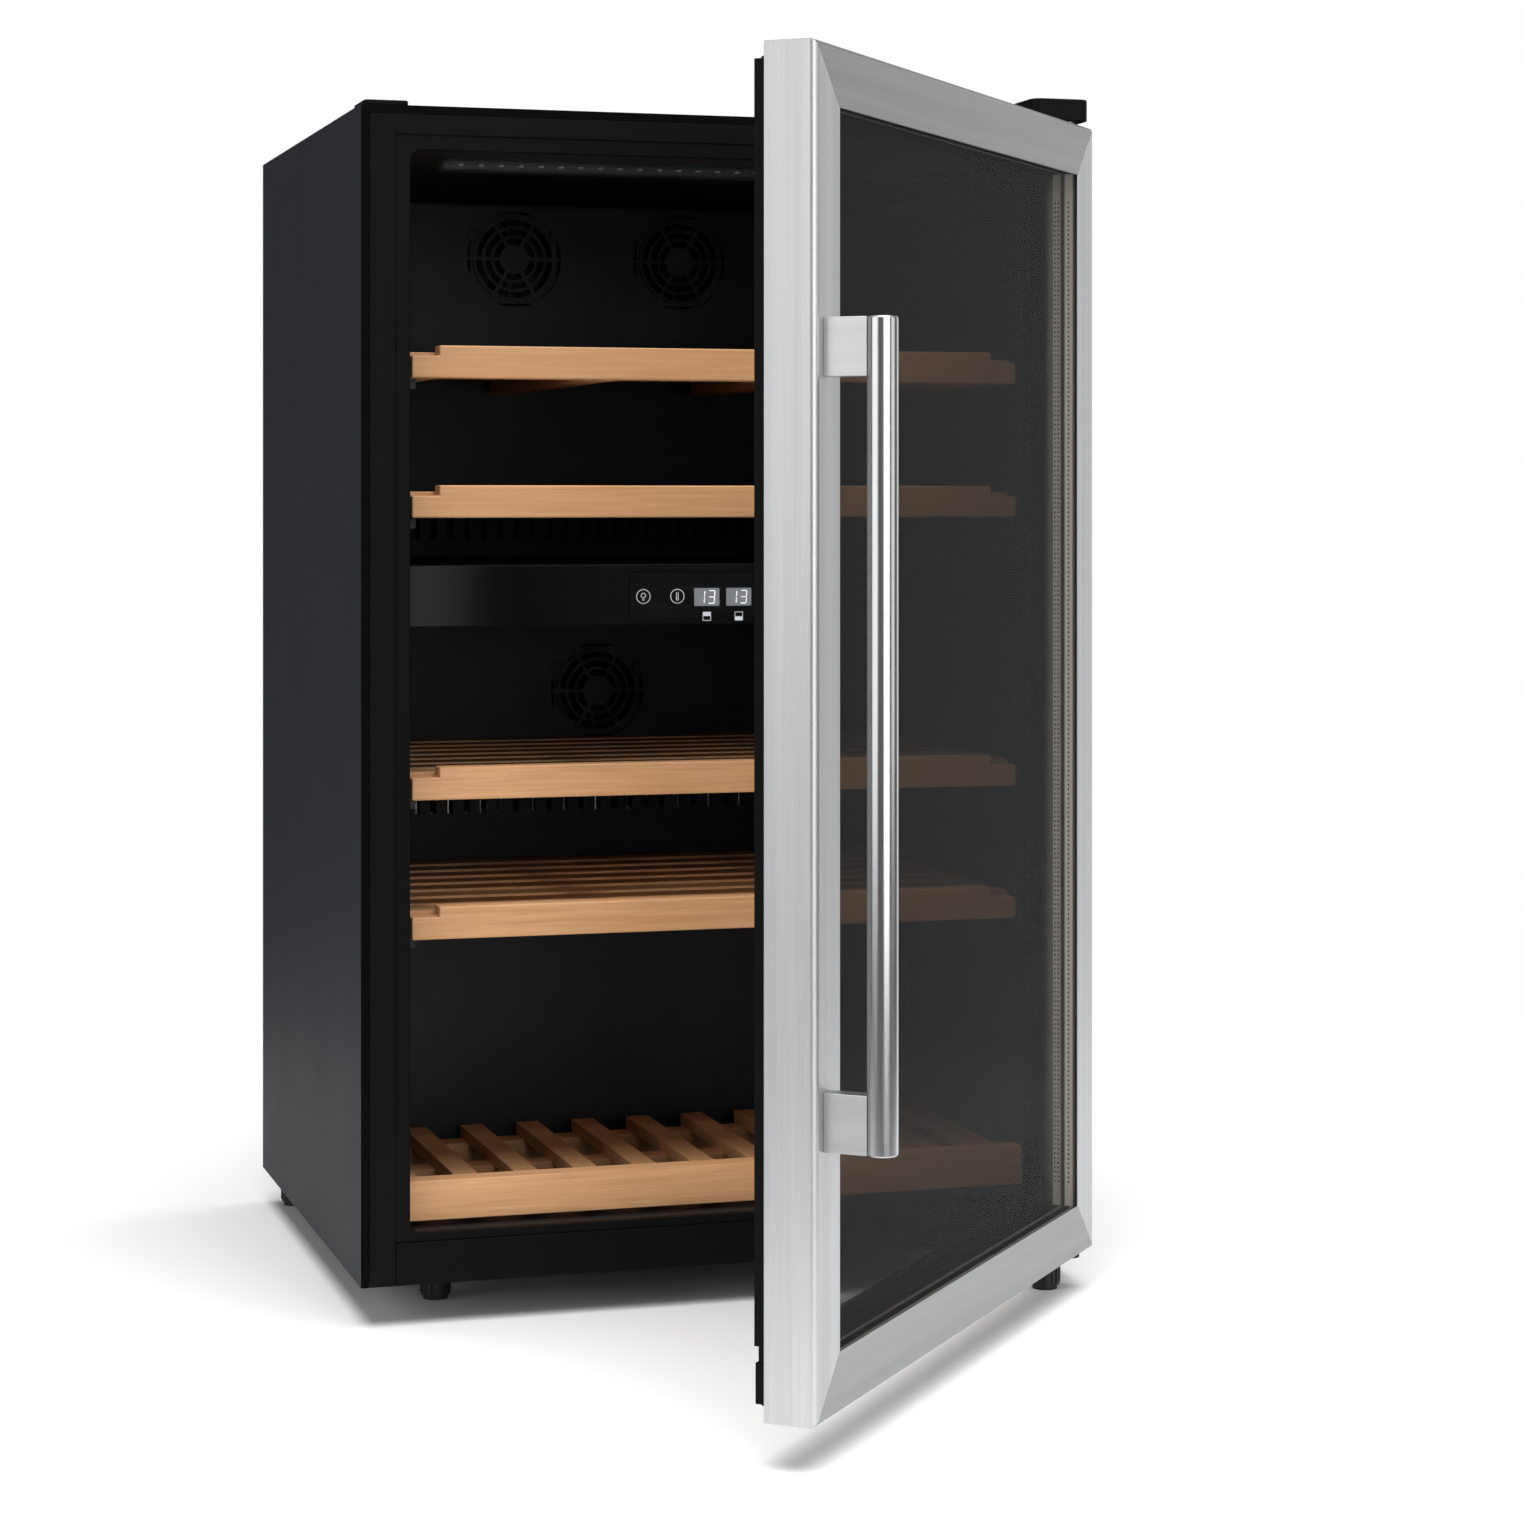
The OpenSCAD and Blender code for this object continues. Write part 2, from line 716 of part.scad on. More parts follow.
module hinge_bracket_bottom() {
  arm_w = 20;
  color("#25272a") in_cabinet() difference() {
    translate([0, 0, bottom_plate_z]) linear_extrude(bracket_plate) {
      hinge_plate_outline();
      // arm that carries the front foot
      translate(feet[1]) circle(d = arm_w);
      translate([feet[1][0] - arm_w / 2, feet[1][1]]) square([arm_w, plate_back - feet[1][1]]);
    }
    translate([feet[1][0], feet[1][1], bottom_plate_z - eps])
      cylinder(d = stud_d + 2 * air, h = bracket_plate + 2 * eps);
    hinge_plate_holes(bottom_plate_z);
  }
}

module hinge_pins() {
  door_top = door_h + door_low;
  color("#9a9da0") in_cabinet() translate([pivot[0], pivot[1], 0]) {
    translate([0, 0, door_top - pin_l])
      cylinder(d = pin_d - 2 * run, h = top_plate_z + bracket_plate - door_top + pin_l);
    translate([0, 0, bottom_plate_z]) cylinder(d = pin_d - 2 * run, h = pin_l - bottom_plate_z);
  }
}

cap_h = 16;

// Rectangle with round corners, from its lowest corner
module round_area(low, size, r) {
  translate(low + [r, 0]) square(size - [2 * r, 0]);
  translate(low + [0, r]) square(size - [0, 2 * r]);
  for (x = [r, size[0] - r], y = [r, size[1] - r]) translate(low + [x, y]) circle(r);
}

module hinge_cap() {
  wall = 2;
  corner = 8;
  low = [half_w - 54, pivot[1] - 10.5];
  size = [45, 36 - pivot[1]];
  color("#0e0f10") in_cabinet() translate([0, 0, top_plate_z]) difference() {
    linear_extrude(cap_h) round_area(low, size, corner);
    translate([0, 0, -eps]) linear_extrude(cap_h - wall + eps)
      round_area(low + [wall, wall], size - 2 * [wall, wall], corner - wall);
  }
}

module blank_cap() {
  color("#0e0f10") in_cabinet() translate([0, 0, cab_h + fit])
    linear_extrude(3.5) round_area([-half_w + 3, 3], [32, 44], 4);
}

// Levelling foot: ribbed pad with a threaded stud
module foot(i) {
  ribs = 16;
  pad_r = foot_d / 2 - 0.8;
  // the front foot under the hinge ends in its bracket, the others in the base
  stud_top = i == 1 ? floor_gap + bottom_plate_z + bracket_plate : floor_gap + 14;
  color("#0f0f0f") translate([feet[i][0], feet[i][1] - cab_d / 2, 0]) {
    rotate_extrude() {
      translate([0, 3]) square([pad_r, foot_h - 3]);
      square([pad_r - 1.5, foot_h - 1]);
      square([stud_d / 2, stud_top]);
    }
    for (k = [0 : ribs - 1]) rotate([0, 0, (k + 0.5) * 360 / ribs])
      span_box([foot_d / 2 - 3, -1, 5], [foot_d / 2, 1, foot_h - 2]);
  }
}

module foot_front_left() { foot(0); }
module foot_front_right() { foot(1); }
module foot_rear_left() { foot(2); }
module foot_rear_right() { foot(3); }

// Screw standing on its shank, with a cross slot in its head
module hinge_screw(shank) {
  head_d = 9;
  head_h = 2.5;
  slot = 0.8;
  difference() {
    cylinder(d = head_d, h = head_h);
    for (a = [0, 90]) rotate([0, 0, a])
      span_box([-head_d / 3, -slot / 2, head_h - slot], [head_d / 3, slot / 2, head_h + eps]);
  }
  translate([0, 0, -shank]) cylinder(d = hinge_screw_d - 2 * fit, h = shank);
}

module cabinet_screws() {
  plate_top = top_plate_z + bracket_plate;
  edge = 20;
  color("#8a8d90") in_cabinet() {
    for (x = hinge_screw_x) {
      translate([x, hinge_screw_y, plate_top + fit]) hinge_screw(10);
      translate([x, hinge_screw_y, bottom_plate_z - fit]) rotate([180, 0, 0]) hinge_screw(12);
    }
    // back panel screws along its edge
    for (x = [-half_w + edge, half_w - edge], z = [bay_h + 25, cab_h / 2 + 60, cab_h - 30])
      translate([x, cab_d + fit, z]) rotate([-90, 0, 0]) cylinder(d = 7, h = 2);
  }
}

// ---- Door ----

// One steel channel of the frame, drawn along +X from 0 to len, mitred at both ends
module frame_bar(len) {
  lip = frame_w;
  difference() {
    // section: front face, outer wall with round front edge, open at the back
    rotate([90, 0, 90]) linear_extrude(len) difference() {
      union() {
        translate([door_front + frame_r, 0]) square([door_t - frame_r, lip]);
        translate([door_front, frame_r]) square([door_t, lip - frame_r]);
        translate([door_front + frame_r, frame_r]) circle(frame_r);
      }
      translate([pane_front - fit, steel_t + 20]) square([door_t, lip]);
    }
    // 45 degree mitres
    rotate([0, 45, 0]) translate([-4 * lip, door_front - eps, -eps])
      cube([4 * lip, door_t + 2 * eps, 6 * lip]);
    translate([len, 0, 0]) rotate([0, -45, 0]) translate([0, door_front - eps, -eps])
      cube([4 * lip, door_t + 2 * eps, 6 * lip]);
  }
}

module hinge_holes() {
  for (z = [door_low - eps, door_low + door_h - pin_l - eps]) translate([pivot[0], pivot[1], z])
    cylinder(d = pin_d, h = pin_l + 2 * eps);
}

module door_rail_bottom() {
  color("#c6c8ca") on_door() difference() {
    translate([-half_w, 0, door_low]) frame_bar(cab_w);
    hinge_holes();
  }
}

module door_rail_top() {
  color("#c6c8ca") on_door() difference() {
    translate([-half_w, 0, door_low + door_h]) mirror([0, 0, 1]) frame_bar(cab_w);
    hinge_holes();
  }
}

module door_stile_free() {
  color("#c6c8ca") on_door() translate([-half_w, 0, door_low])
    mirror([1, 0, 0]) rotate([0, -90, 0]) frame_bar(door_h);
}

module door_stile_hinge() {
  color("#c6c8ca") on_door() difference() {
    translate([half_w, 0, door_low]) rotate([0, -90, 0]) frame_bar(door_h);
    hinge_holes();
  }
}

// Ring standing upright: outer edge inset from the door's outline, with its own width
module door_ring(inset, width, y, t) {
  x = half_w - inset;
  z0 = door_low + inset;
  z1 = door_low + door_h - inset;
  difference() {
    span_box([-x, y, z0], [x, y + t, z1]);
    span_box([-x + width, y - eps, z0 + width], [x - width, y + t + eps, z1 - width]);
  }
}

module door_inner_frame() {
  lip_inset = 3;
  lip_t = 7.5;
  color("#0c0d0e") on_door() {
    door_ring(inner_inset, frame_w + 4 - inner_inset, inner_y, inner_t - 2 * fit);
    // thicker lip along the free edge
    span_box([-half_w + lip_inset, inner_y, door_low + inner_inset + 2],
      [-half_w + gasket_inset - 2, inner_y + lip_t, door_low + door_h - inner_inset - 2]);
  }
}

module door_gasket() {
  y = inner_y + inner_t - fit;
  color("#161616") on_door() door_ring(gasket_inset, gasket_w, y, -gasket_gap - y);
}

glass_half = glass_x + pane_lip;
glass_low = door_low + frame_w - pane_lip;
glass_top = door_low + door_h - frame_w + pane_lip;

module glass_panes() {
  color([0.25, 0.27, 0.29, 0.45]) on_door() for (i = [0 : 2])
    translate([0, pane_front + i * (pane_t + pane_gap), 0])
      span_box([-glass_half, 0, glass_low], [glass_half, pane_t, glass_top]);
}

module glass_spacers() {
  color("#b9a585") on_door() for (i = [0, 1])
    translate([0, pane_front + pane_t + i * (pane_t + pane_gap) + fit / 2, 0]) difference() {
      span_box([-glass_half + fit, 0, glass_low + fit], [glass_half - fit, pane_gap - fit, glass_top - fit]);
      span_box([-glass_half + spacer_w, -eps, glass_low + spacer_w],
        [glass_half - spacer_w, pane_gap + eps, glass_top - spacer_w]);
    }
}

bar_x = -half_w + bar_in;
bar_y = door_front - bar_out;

module handle_bar() {
  chamfer = 0.8;
  color("#d3d5d6") on_door() translate([bar_x, bar_y, bar_z]) rotate_extrude() {
    translate([0, chamfer]) square([bar_d / 2, bar_l - 2 * chamfer]);
    square([bar_d / 2 - chamfer, bar_l]);
  }
}

module handle_brackets() {
  color("#c2c4c6") on_door() for (z = [bar_z, bar_z + bar_l - bracket_h]) difference() {
    span_box([bar_x - bracket_t / 2, bar_y, z], [bar_x + bracket_t / 2, door_front, z + bracket_h]);
    translate([bar_x, bar_y, z - eps]) cylinder(d = bar_d + 2 * fit, h = bracket_h + 2 * eps);
  }
}

// ---- Shelves ----

// Front board with a lower tongue at each end
module fascia(z) {
  x = shelf_x;
  color("#d9a873") in_cabinet() {
    span_box([-x + tongue_l, fascia_y, z], [x - tongue_l, fascia_y + fascia_t, z + fascia_h]);
    span_box([-x, fascia_y, z], [x, fascia_y + fascia_t, z + tongue_h]);
  }
}

// Two side rails and a back rail with slats laid across them
module deck(z) {
  x = shelf_x;
  y0 = fascia_y + fascia_t + fit;
  y1 = fascia_y + shelf_depth;
  slats = 8;
  pitch = (y1 - y0 - slat_w) / (slats - 1);
  inner_rail_x = 75;
  color("#cf9d66") in_cabinet() {
    for (side = [0, 1], cx = [x - rail_w, inner_rail_x]) mirror([side, 0, 0])
      span_box([cx, y0, z], [cx + rail_w, y1, z + rail_h]);
    // the slats are let into the rails
    for (i = [0 : slats - 1]) translate([0, y0 + i * pitch, z + rail_h - eps])
      span_box([-x, 0, 0], [x, slat_w, slat_t]);
  }
}

module shelf_1_fascia() { fascia(shelf_z[3]); }
module shelf_1_deck() { deck(shelf_z[3]); }
module shelf_2_fascia() { fascia(shelf_z[2]); }
module shelf_2_deck() { deck(shelf_z[2]); }
module shelf_3_fascia() { fascia(shelf_z[1]); }
module shelf_3_deck() { deck(shelf_z[1]); }
module shelf_4_fascia() { fascia(shelf_z[0]); }
module shelf_4_deck() { deck(shelf_z[0]); }

// Rack on the liner's floor: front board, cross rails and front-to-back slats
module bottom_rack() {
  x = open_x - 2;
  y0 = 22;
  z0 = liner_floor_z + 4;
  slats = 11;
  slat = 18;
  slat_z = z0 + 11;
  pitch = (2 * x - slat) / (slats - 1);
  color("#cf9d66") in_cabinet() {
    span_box([-x, y0, z0], [x, y0 + fascia_t, z0 + rack_h]);
    for (y = [y0 + 40, y0 + rack_depth / 2, y0 + rack_depth - 30])
      span_box([-x, y, z0 - 3.5], [x, y + rail_w, slat_z + eps]);
    for (i = [0 : slats - 1]) translate([-x + i * pitch, 0, slat_z])
      span_box([0, y0 + fascia_t - eps, 0], [slat, y0 + rack_depth, 10]);
  }
}

side_panel_left();
side_panel_right();
top_panel();
back_panel();
base_plate();
kick_panel();
front_frame();
liner();
insulation_foam();
divider();
control_panel();
touch_window();
control_board();
light_lens();
duct_cover_upper();
duct_cover_lower();
fan_frames();
fan_rotor_left();
fan_rotor_right();
fan_rotor_lower();
evaporators();
compressor();
compressor_grommets();
condenser();
condenser_fan_frame();
condenser_fan_rotor();
filter_drier();
drain_tube();
drain_pan();
bay_grille();
power_inlet();
hinge_bracket_top();
hinge_bracket_bottom();
hinge_pins();
hinge_cap();
blank_cap();
foot_front_left();
foot_front_right();
foot_rear_left();
foot_rear_right();
cabinet_screws();
door_stile_free();
door_stile_hinge();
door_rail_top();
door_rail_bottom();
door_inner_frame();
door_gasket();
glass_panes();
glass_spacers();
handle_bar();
handle_brackets();
shelf_1_fascia();
shelf_1_deck();
shelf_2_fascia();
shelf_2_deck();
shelf_3_fascia();
shelf_3_deck();
shelf_4_fascia();
shelf_4_deck();
bottom_rack();
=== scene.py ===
import json
import math

import bmesh
import bpy
from mathutils import Matrix, Vector

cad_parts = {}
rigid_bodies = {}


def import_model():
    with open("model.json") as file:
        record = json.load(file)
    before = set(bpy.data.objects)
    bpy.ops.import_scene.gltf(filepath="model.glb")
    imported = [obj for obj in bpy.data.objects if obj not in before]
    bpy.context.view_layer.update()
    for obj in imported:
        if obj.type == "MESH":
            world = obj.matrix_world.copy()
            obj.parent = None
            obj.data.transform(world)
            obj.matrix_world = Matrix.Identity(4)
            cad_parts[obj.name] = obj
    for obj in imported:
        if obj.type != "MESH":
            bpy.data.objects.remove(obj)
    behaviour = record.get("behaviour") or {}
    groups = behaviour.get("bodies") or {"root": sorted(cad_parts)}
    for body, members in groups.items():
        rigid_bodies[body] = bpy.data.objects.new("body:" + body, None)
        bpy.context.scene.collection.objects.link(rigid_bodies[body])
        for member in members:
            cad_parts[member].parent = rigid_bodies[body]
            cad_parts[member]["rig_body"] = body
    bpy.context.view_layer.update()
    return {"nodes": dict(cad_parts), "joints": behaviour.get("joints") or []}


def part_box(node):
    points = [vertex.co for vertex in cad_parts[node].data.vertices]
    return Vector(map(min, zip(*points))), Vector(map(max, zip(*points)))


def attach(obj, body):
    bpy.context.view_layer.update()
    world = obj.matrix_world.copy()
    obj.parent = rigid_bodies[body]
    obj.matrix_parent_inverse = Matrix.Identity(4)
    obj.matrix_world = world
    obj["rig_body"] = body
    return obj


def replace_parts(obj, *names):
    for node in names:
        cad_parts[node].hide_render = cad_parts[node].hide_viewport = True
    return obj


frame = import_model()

# ---- Camera, floor and studio light ----
# The cooler is seen from the front left, a little above its middle, with upright edges kept parallel.
# It stands on a pale floor under one large soft light. Softer ones stand in front, at both sides and behind.
camera = bpy.data.objects.new("camera", bpy.data.cameras.new("camera"))
bpy.context.scene.collection.objects.link(camera)
bpy.context.scene.camera = camera
camera.location = (-0.7013, -2.6249, 0.5842)
camera.rotation_euler = (math.radians(90), 0, math.radians(-16.84))
camera.data.sensor_width = 36
camera.data.lens = 80.86
camera.data.shift_y = -0.1715
camera.data.clip_end = 50


def linear(hex_colour, alpha=1.0):
    """An sRGB hex colour as the linear colour that the shaders take."""
    parts = [int(hex_colour[i:i + 2], 16) / 255 for i in (1, 3, 5)]
    return tuple(p / 12.92 if p <= 0.04045 else ((p + 0.055) / 1.055) ** 2.4 for p in parts) + (alpha,)


def add(tree, kind, inputs=None, to=None, **settings):
    """Adds one node with its settings. Inputs are values or sockets, and to is a socket fed by its output."""
    made = tree.nodes.new(kind)
    for name, value in settings.items():
        setattr(made, name, value)
    for name, value in (inputs or {}).items():
        if isinstance(value, bpy.types.NodeSocket):
            tree.links.new(value, made.inputs[name])
        else:
            made.inputs[name].default_value = value
    if to:
        tree.links.new(made.outputs[0], to)
    return made


def new_material(name, **shader_values):
    """An empty material with its shader: returns the material, its node tree and the shader."""
    material = bpy.data.materials.new(name)
    material.use_nodes = True
    tree = material.node_tree
    shader = tree.nodes["Principled BSDF"]
    for label, value in shader_values.items():
        shader.inputs[label.replace("_", " ")].default_value = value
    return material, tree, shader


def stage_material():
    """Matt white painted floor: no gloss, so shadows stay pale. It fades into the white studio far out."""
    material, tree, shader = new_material("studio_floor", Roughness=0.9, Base_Color=linear("#fbfbfb"))
    shader.inputs["Specular IOR Level"].default_value = 0.0
    at = add(tree, "ShaderNodeTexCoord").outputs["Object"]
    distance = add(tree, "ShaderNodeVectorMath", {0: at}, operation="LENGTH")
    add(tree, "ShaderNodeMapRange", {"Value": distance.outputs["Value"], "From Min": 0.75, "From Max": 1.7,
                                     "To Min": 1.0,
                                     "To Max": 0.0}, to=shader.inputs["Alpha"],
        interpolation_type="SMOOTHSTEP")
    return material


def area_light(name, place, aim, size, power, size_y=None):
    """A rectangular soft light at place, facing aim."""
    lamp = bpy.data.lights.new(name, "AREA")
    lamp.shape = "RECTANGLE"
    lamp.size = size
    lamp.size_y = size_y or size
    lamp.energy = power
    lamp_object = bpy.data.objects.new(name, lamp)
    bpy.context.scene.collection.objects.link(lamp_object)
    lamp_object.location = place
    lamp_object.visible_camera = False
    lamp_object.rotation_euler = (Vector(aim) - Vector(place)).to_track_quat("-Z", "Y").to_euler()


floor_mesh = bmesh.new()
bmesh.ops.create_grid(floor_mesh, x_segments=1, y_segments=1, size=12)
floor_data = bpy.data.meshes.new("floor")
floor_mesh.to_mesh(floor_data)
floor_mesh.free()
floor = bpy.data.objects.new("floor", floor_data)
bpy.context.scene.collection.objects.link(floor)
floor_data.materials.append(stage_material())

area_light("top_light", (0.0, -0.7, 3.2), (0, -0.1, 0), 3.2, 172)
area_light("key_light", (0.62, -4.0, 0.85), (0, -0.6, 0.45), 2.5, 54, 2.0)
area_light("left_light", (-3.1, -1.35, 1.15), (0, -0.6, 0.5), 2.7, 38, 2.4)
area_light("right_light", (2.7, -2.05, 1.25), (0, -0.6, 0.5), 1.6, 15, 2.4)
area_light("rear_right_light", (3.2, 1.7, 0.8), (0.1, -0.2, 0.5), 2.6, 25, 3.4)

world = bpy.data.worlds.new("studio")
bpy.context.scene.world = world
world.use_nodes = True
sky = world.node_tree
seen = add(sky, "ShaderNodeBackground", {"Color": linear("#ffffff"), "Strength": 1.0})
cast = add(sky, "ShaderNodeBackground", {"Color": linear("#ffffff"), "Strength": 0.16})
which = add(sky, "ShaderNodeMixShader", {0: add(sky, "ShaderNodeLightPath").outputs["Is Camera Ray"]})
sky.links.new(cast.outputs[0], which.inputs[1])
sky.links.new(seen.outputs[0], which.inputs[2])
sky.links.new(which.outputs[0], sky.nodes["World Output"].inputs["Surface"])
bpy.context.scene.view_settings.view_transform = "Standard"

# ---- Cabinet skins ----
# Folded sheet steel, 0.8 mm thick: two sides, top, back and base, held by their folded edges and the foam.
# The sides and the top are powder coated in satin black; the back and base are plainer painted steel.
MM = 0.001
nodes = frame["nodes"]


def place_coordinates(tree, scale=(1, 1, 1), turn=0.0):
    """Object coordinates in metres, turned about Z and then stretched."""
    source = add(tree, "ShaderNodeTexCoord").outputs["Object"]
    turned = add(tree, "ShaderNodeMapping", {"Vector": source, "Rotation": (0, 0, turn)})
    return add(tree, "ShaderNodeMapping", {"Vector": turned.outputs[0], "Scale": scale}).outputs[0]


def powder_coat(name, colour, roughness):
    """Powder-coated steel: sprayed and baked, which leaves a fine orange peel about 1.5 mm across."""
    material, tree, shader = new_material(name, Base_Color=linear(colour))
    shader.inputs["Specular IOR Level"].default_value = 0.04
    at = place_coordinates(tree)
    peel = add(tree, "ShaderNodeTexNoise", {"Vector": at, "Scale": 1 / (1.5 * MM), "Detail": 2.0})
    cloud = add(tree, "ShaderNodeTexNoise", {"Vector": at, "Scale": 1 / (90 * MM), "Detail": 3.0})
    add(tree, "ShaderNodeMapRange", {"Value": cloud.outputs[0], "To Min": roughness - 0.05,
                                     "To Max": roughness + 0.05},
        to=shader.inputs["Roughness"])
    add(tree, "ShaderNodeBump", {"Height": peel.outputs[0], "Distance": 0.04 * MM},
        to=shader.inputs["Normal"])
    return material


def finish_node(name, material):
    """Gives a carried-over node its material."""
    part = nodes[name]
    if not part.material_slots:
        part.data.materials.append(material)
    for part_slot in part.material_slots:
        part_slot.material = material


def finished_object(name, mesh, material, body, smooth_angle=40):
    """Turns a bmesh into a piece that rides on a body and has a material."""
    data = bpy.data.meshes.new(name)
    mesh.to_mesh(data)
    mesh.free()
    piece = bpy.data.objects.new(name, data)
    bpy.context.scene.collection.objects.link(piece)
    data.materials.append(material)
    data.shade_smooth()
    data.set_sharp_from_angle(angle=math.radians(smooth_angle))
    # flat faces keep their own normals, so that only the rounded edges shade
    flat_faces = piece.modifiers.new("flat_faces", "WEIGHTED_NORMAL")
    flat_faces.keep_sharp = True
    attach(piece, body)
    return piece


def bevel_edges(mesh, width, segments=2, angle=32):
    """Rounds every edge of a mesh that is sharper than an angle."""
    sharp = [e for e in mesh.edges if e.is_manifold and e.calc_face_angle(0) > math.radians(angle)]
    bmesh.ops.bevel(mesh, geom=sharp, offset=width, offset_type="OFFSET", affect="EDGES", segments=segments,
                    profile=0.5, material=-1, clamp_overlap=True)


def refine(name, material, width, segments=2):
    """Replaces a node by a merged copy of it with rounded edges of the given width."""
    mesh = bmesh.new()
    mesh.from_mesh(nodes[name].data)
    bmesh.ops.remove_doubles(mesh, verts=mesh.verts, dist=0.005 * MM)
    bmesh.ops.dissolve_limit(mesh, angle_limit=math.radians(1), verts=mesh.verts, edges=mesh.edges)
    bevel_edges(mesh, width, segments)
    piece = finished_object(name + "_piece", mesh, material, nodes[name]["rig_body"])
    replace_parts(piece, name)
    return piece


cabinet_black = powder_coat("satin_black_powder_coat", "#27282d", 0.5)
panel_grey = powder_coat("painted_back_steel", "#2a2c2f", 0.55)
# a near-black copy of the satin black coat for the folds that face the front: painted shade
front_fold_painted_shade = powder_coat("painted_shade_front_folds", "#050506", 0.6)
for name in ("side_panel_left", "side_panel_right", "top_panel"):
    panel = refine(name, cabinet_black, 0.35 * MM)
    # the folds that face the front get a near-black copy of the same coat: painted shade, for the shadow that
    # lies on them
    panel.data.materials.append(front_fold_painted_shade)
    for face in panel.data.polygons:
        if face.normal.y < -0.7:
            face.material_index = 1
for name in ("back_panel", "base_plate", "bay_grille"):
    finish_node(name, panel_grey)

# ---- Front frame, kick panel and liner ----
# Injection-moulded ABS frame and kick panel clipped between the skins, and a vacuum-formed polystyrene liner
# with shelf ledges, foamed in place. All are black, the mouldings finely grained and the liner smoother.


def moulded_plastic(name, colour, roughness, grain=0.6, depth=0.03, gloss=0.35):
    """Moulded plastic: copied from a spark-eroded mould, which leaves a fine even grain (size in mm)."""
    material, tree, shader = new_material(name, Base_Color=linear(colour))
    shader.inputs["Specular IOR Level"].default_value = gloss
    at = place_coordinates(tree)
    pits = add(tree, "ShaderNodeTexNoise", {"Vector": at, "Scale": 1 / (grain * MM), "Detail": 3.0,
                                            "Roughness": 0.6})
    flow = add(tree, "ShaderNodeTexNoise", {"Vector": at, "Scale": 1 / (60 * MM), "Detail": 2.0})
    add(tree, "ShaderNodeMapRange", {"Value": flow.outputs[0], "To Min": roughness - 0.06,
                                     "To Max": roughness + 0.06},
        to=shader.inputs["Roughness"])
    add(tree, "ShaderNodeBump", {"Height": pits.outputs[0], "Distance": depth * MM},
        to=shader.inputs["Normal"])
    return material


frame_black = moulded_plastic("grained_black_abs", "#090909", 0.5, gloss=0.07)
liner_black = moulded_plastic("formed_black_polystyrene", "#1a1b1d", 0.48, grain=1.2, depth=0.02)
refine("front_frame", frame_black, 0.8 * MM)
refine("kick_panel", frame_black, 0.6 * MM)
finish_node("liner", liner_black)


def foam_material():
    """Rigid polyurethane foam: blown in place, with cells and swirls in its pale yellow skin."""
    material, tree, shader = new_material("rigid_foam", Roughness=0.95)
    at = place_coordinates(tree)
    cells = add(tree, "ShaderNodeTexVoronoi", {"Vector": at, "Scale": 1 / (2.5 * MM)})
    swirl = add(tree, "ShaderNodeTexNoise", {"Vector": at, "Scale": 1 / (70 * MM), "Detail": 4.0})
    tint = add(tree, "ShaderNodeMix", {0: swirl.outputs[0], 6: linear("#d9cf9d"), 7: linear("#c4b67e")},
               data_type="RGBA")
    tree.links.new(tint.outputs[2], shader.inputs["Base Color"])
    add(tree, "ShaderNodeBump", {"Height": cells.outputs[0], "Distance": 0.3 * MM},
        to=shader.inputs["Normal"])
    return material


finish_node("insulation_foam", foam_material())


# ---- Divider and control panel ----
# A foam-filled moulded box between the two zones. Its front is a gloss acrylic panel with a smoked touch
# window. Behind the window a green circuit board carries two number displays and back-lit key signs.


def gloss_acrylic(name, colour, roughness):
    """Cast acrylic: polished smooth, with a very faint waviness in its gloss."""
    material, tree, shader = new_material(name, Base_Color=linear(colour), Roughness=roughness)
    shader.inputs["Specular IOR Level"].default_value = 0.08
    at = place_coordinates(tree)
    wave = add(tree, "ShaderNodeTexNoise", {"Vector": at, "Scale": 1 / (35 * MM), "Detail": 1.0})
    add(tree, "ShaderNodeBump", {"Height": wave.outputs[0], "Distance": 0.05 * MM},
        to=shader.inputs["Normal"])
    return material


def box_mesh(mesh, low, high):
    """Adds a box between two corners to a bmesh and returns its vertices."""
    low, high = Vector(low), Vector(high)
    size = high - low
    made = bmesh.ops.create_cube(mesh, size=1)["verts"]
    bmesh.ops.scale(mesh, vec=size, verts=made)
    bmesh.ops.translate(mesh, vec=(low + high) / 2, verts=made)
    return made


refine("divider", frame_black, 1.0 * MM)
refine("control_panel", gloss_acrylic("gloss_black_acrylic", "#08090a", 0.16), 0.5 * MM)
finish_node("touch_window", gloss_acrylic("smoked_acrylic_window", "#0d0e0f", 0.12))

window_low, window_high = (Vector(corner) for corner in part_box("touch_window"))
window_middle = (window_low + window_high) / 2
sign_y = window_low.y - 0.05 * MM


def solder_mask():
    """Glass-epoxy board under green lacquer: straight copper tracks show through as lighter lines."""
    material, tree, shader = new_material("green_circuit_board", Roughness=0.35)
    at = place_coordinates(tree)
    tracks = add(tree, "ShaderNodeTexBrick", {"Vector": at, "Scale": 60.0, "Mortar Size": 0.05,
                                              "Color1": linear("#1d5a34"), "Color2": linear("#1a5230"),
                                              "Mortar": linear("#3f8a4e")})
    tree.links.new(tracks.outputs["Color"], shader.inputs["Base Color"])
    return material


finish_node("control_board", solder_mask())


def backlight_and_painted_glow(name, colour, strength):
    """White light through a printed sign: an even glow with a slight mottle from the diffuser. On the unlit
    diodes the same glow is painted light.
    """
    material, tree, shader = new_material(name, Base_Color=linear(colour), Roughness=0.5)
    shader.inputs["Emission Color"].default_value = linear(colour)
    at = place_coordinates(tree)
    mottle = add(tree, "ShaderNodeTexNoise", {"Vector": at, "Scale": 1 / (2 * MM)})
    add(tree, "ShaderNodeMapRange", {"Value": mottle.outputs[0], "To Min": strength * 0.85,
                                     "To Max": strength},
        to=shader.inputs["Emission Strength"])
    return material


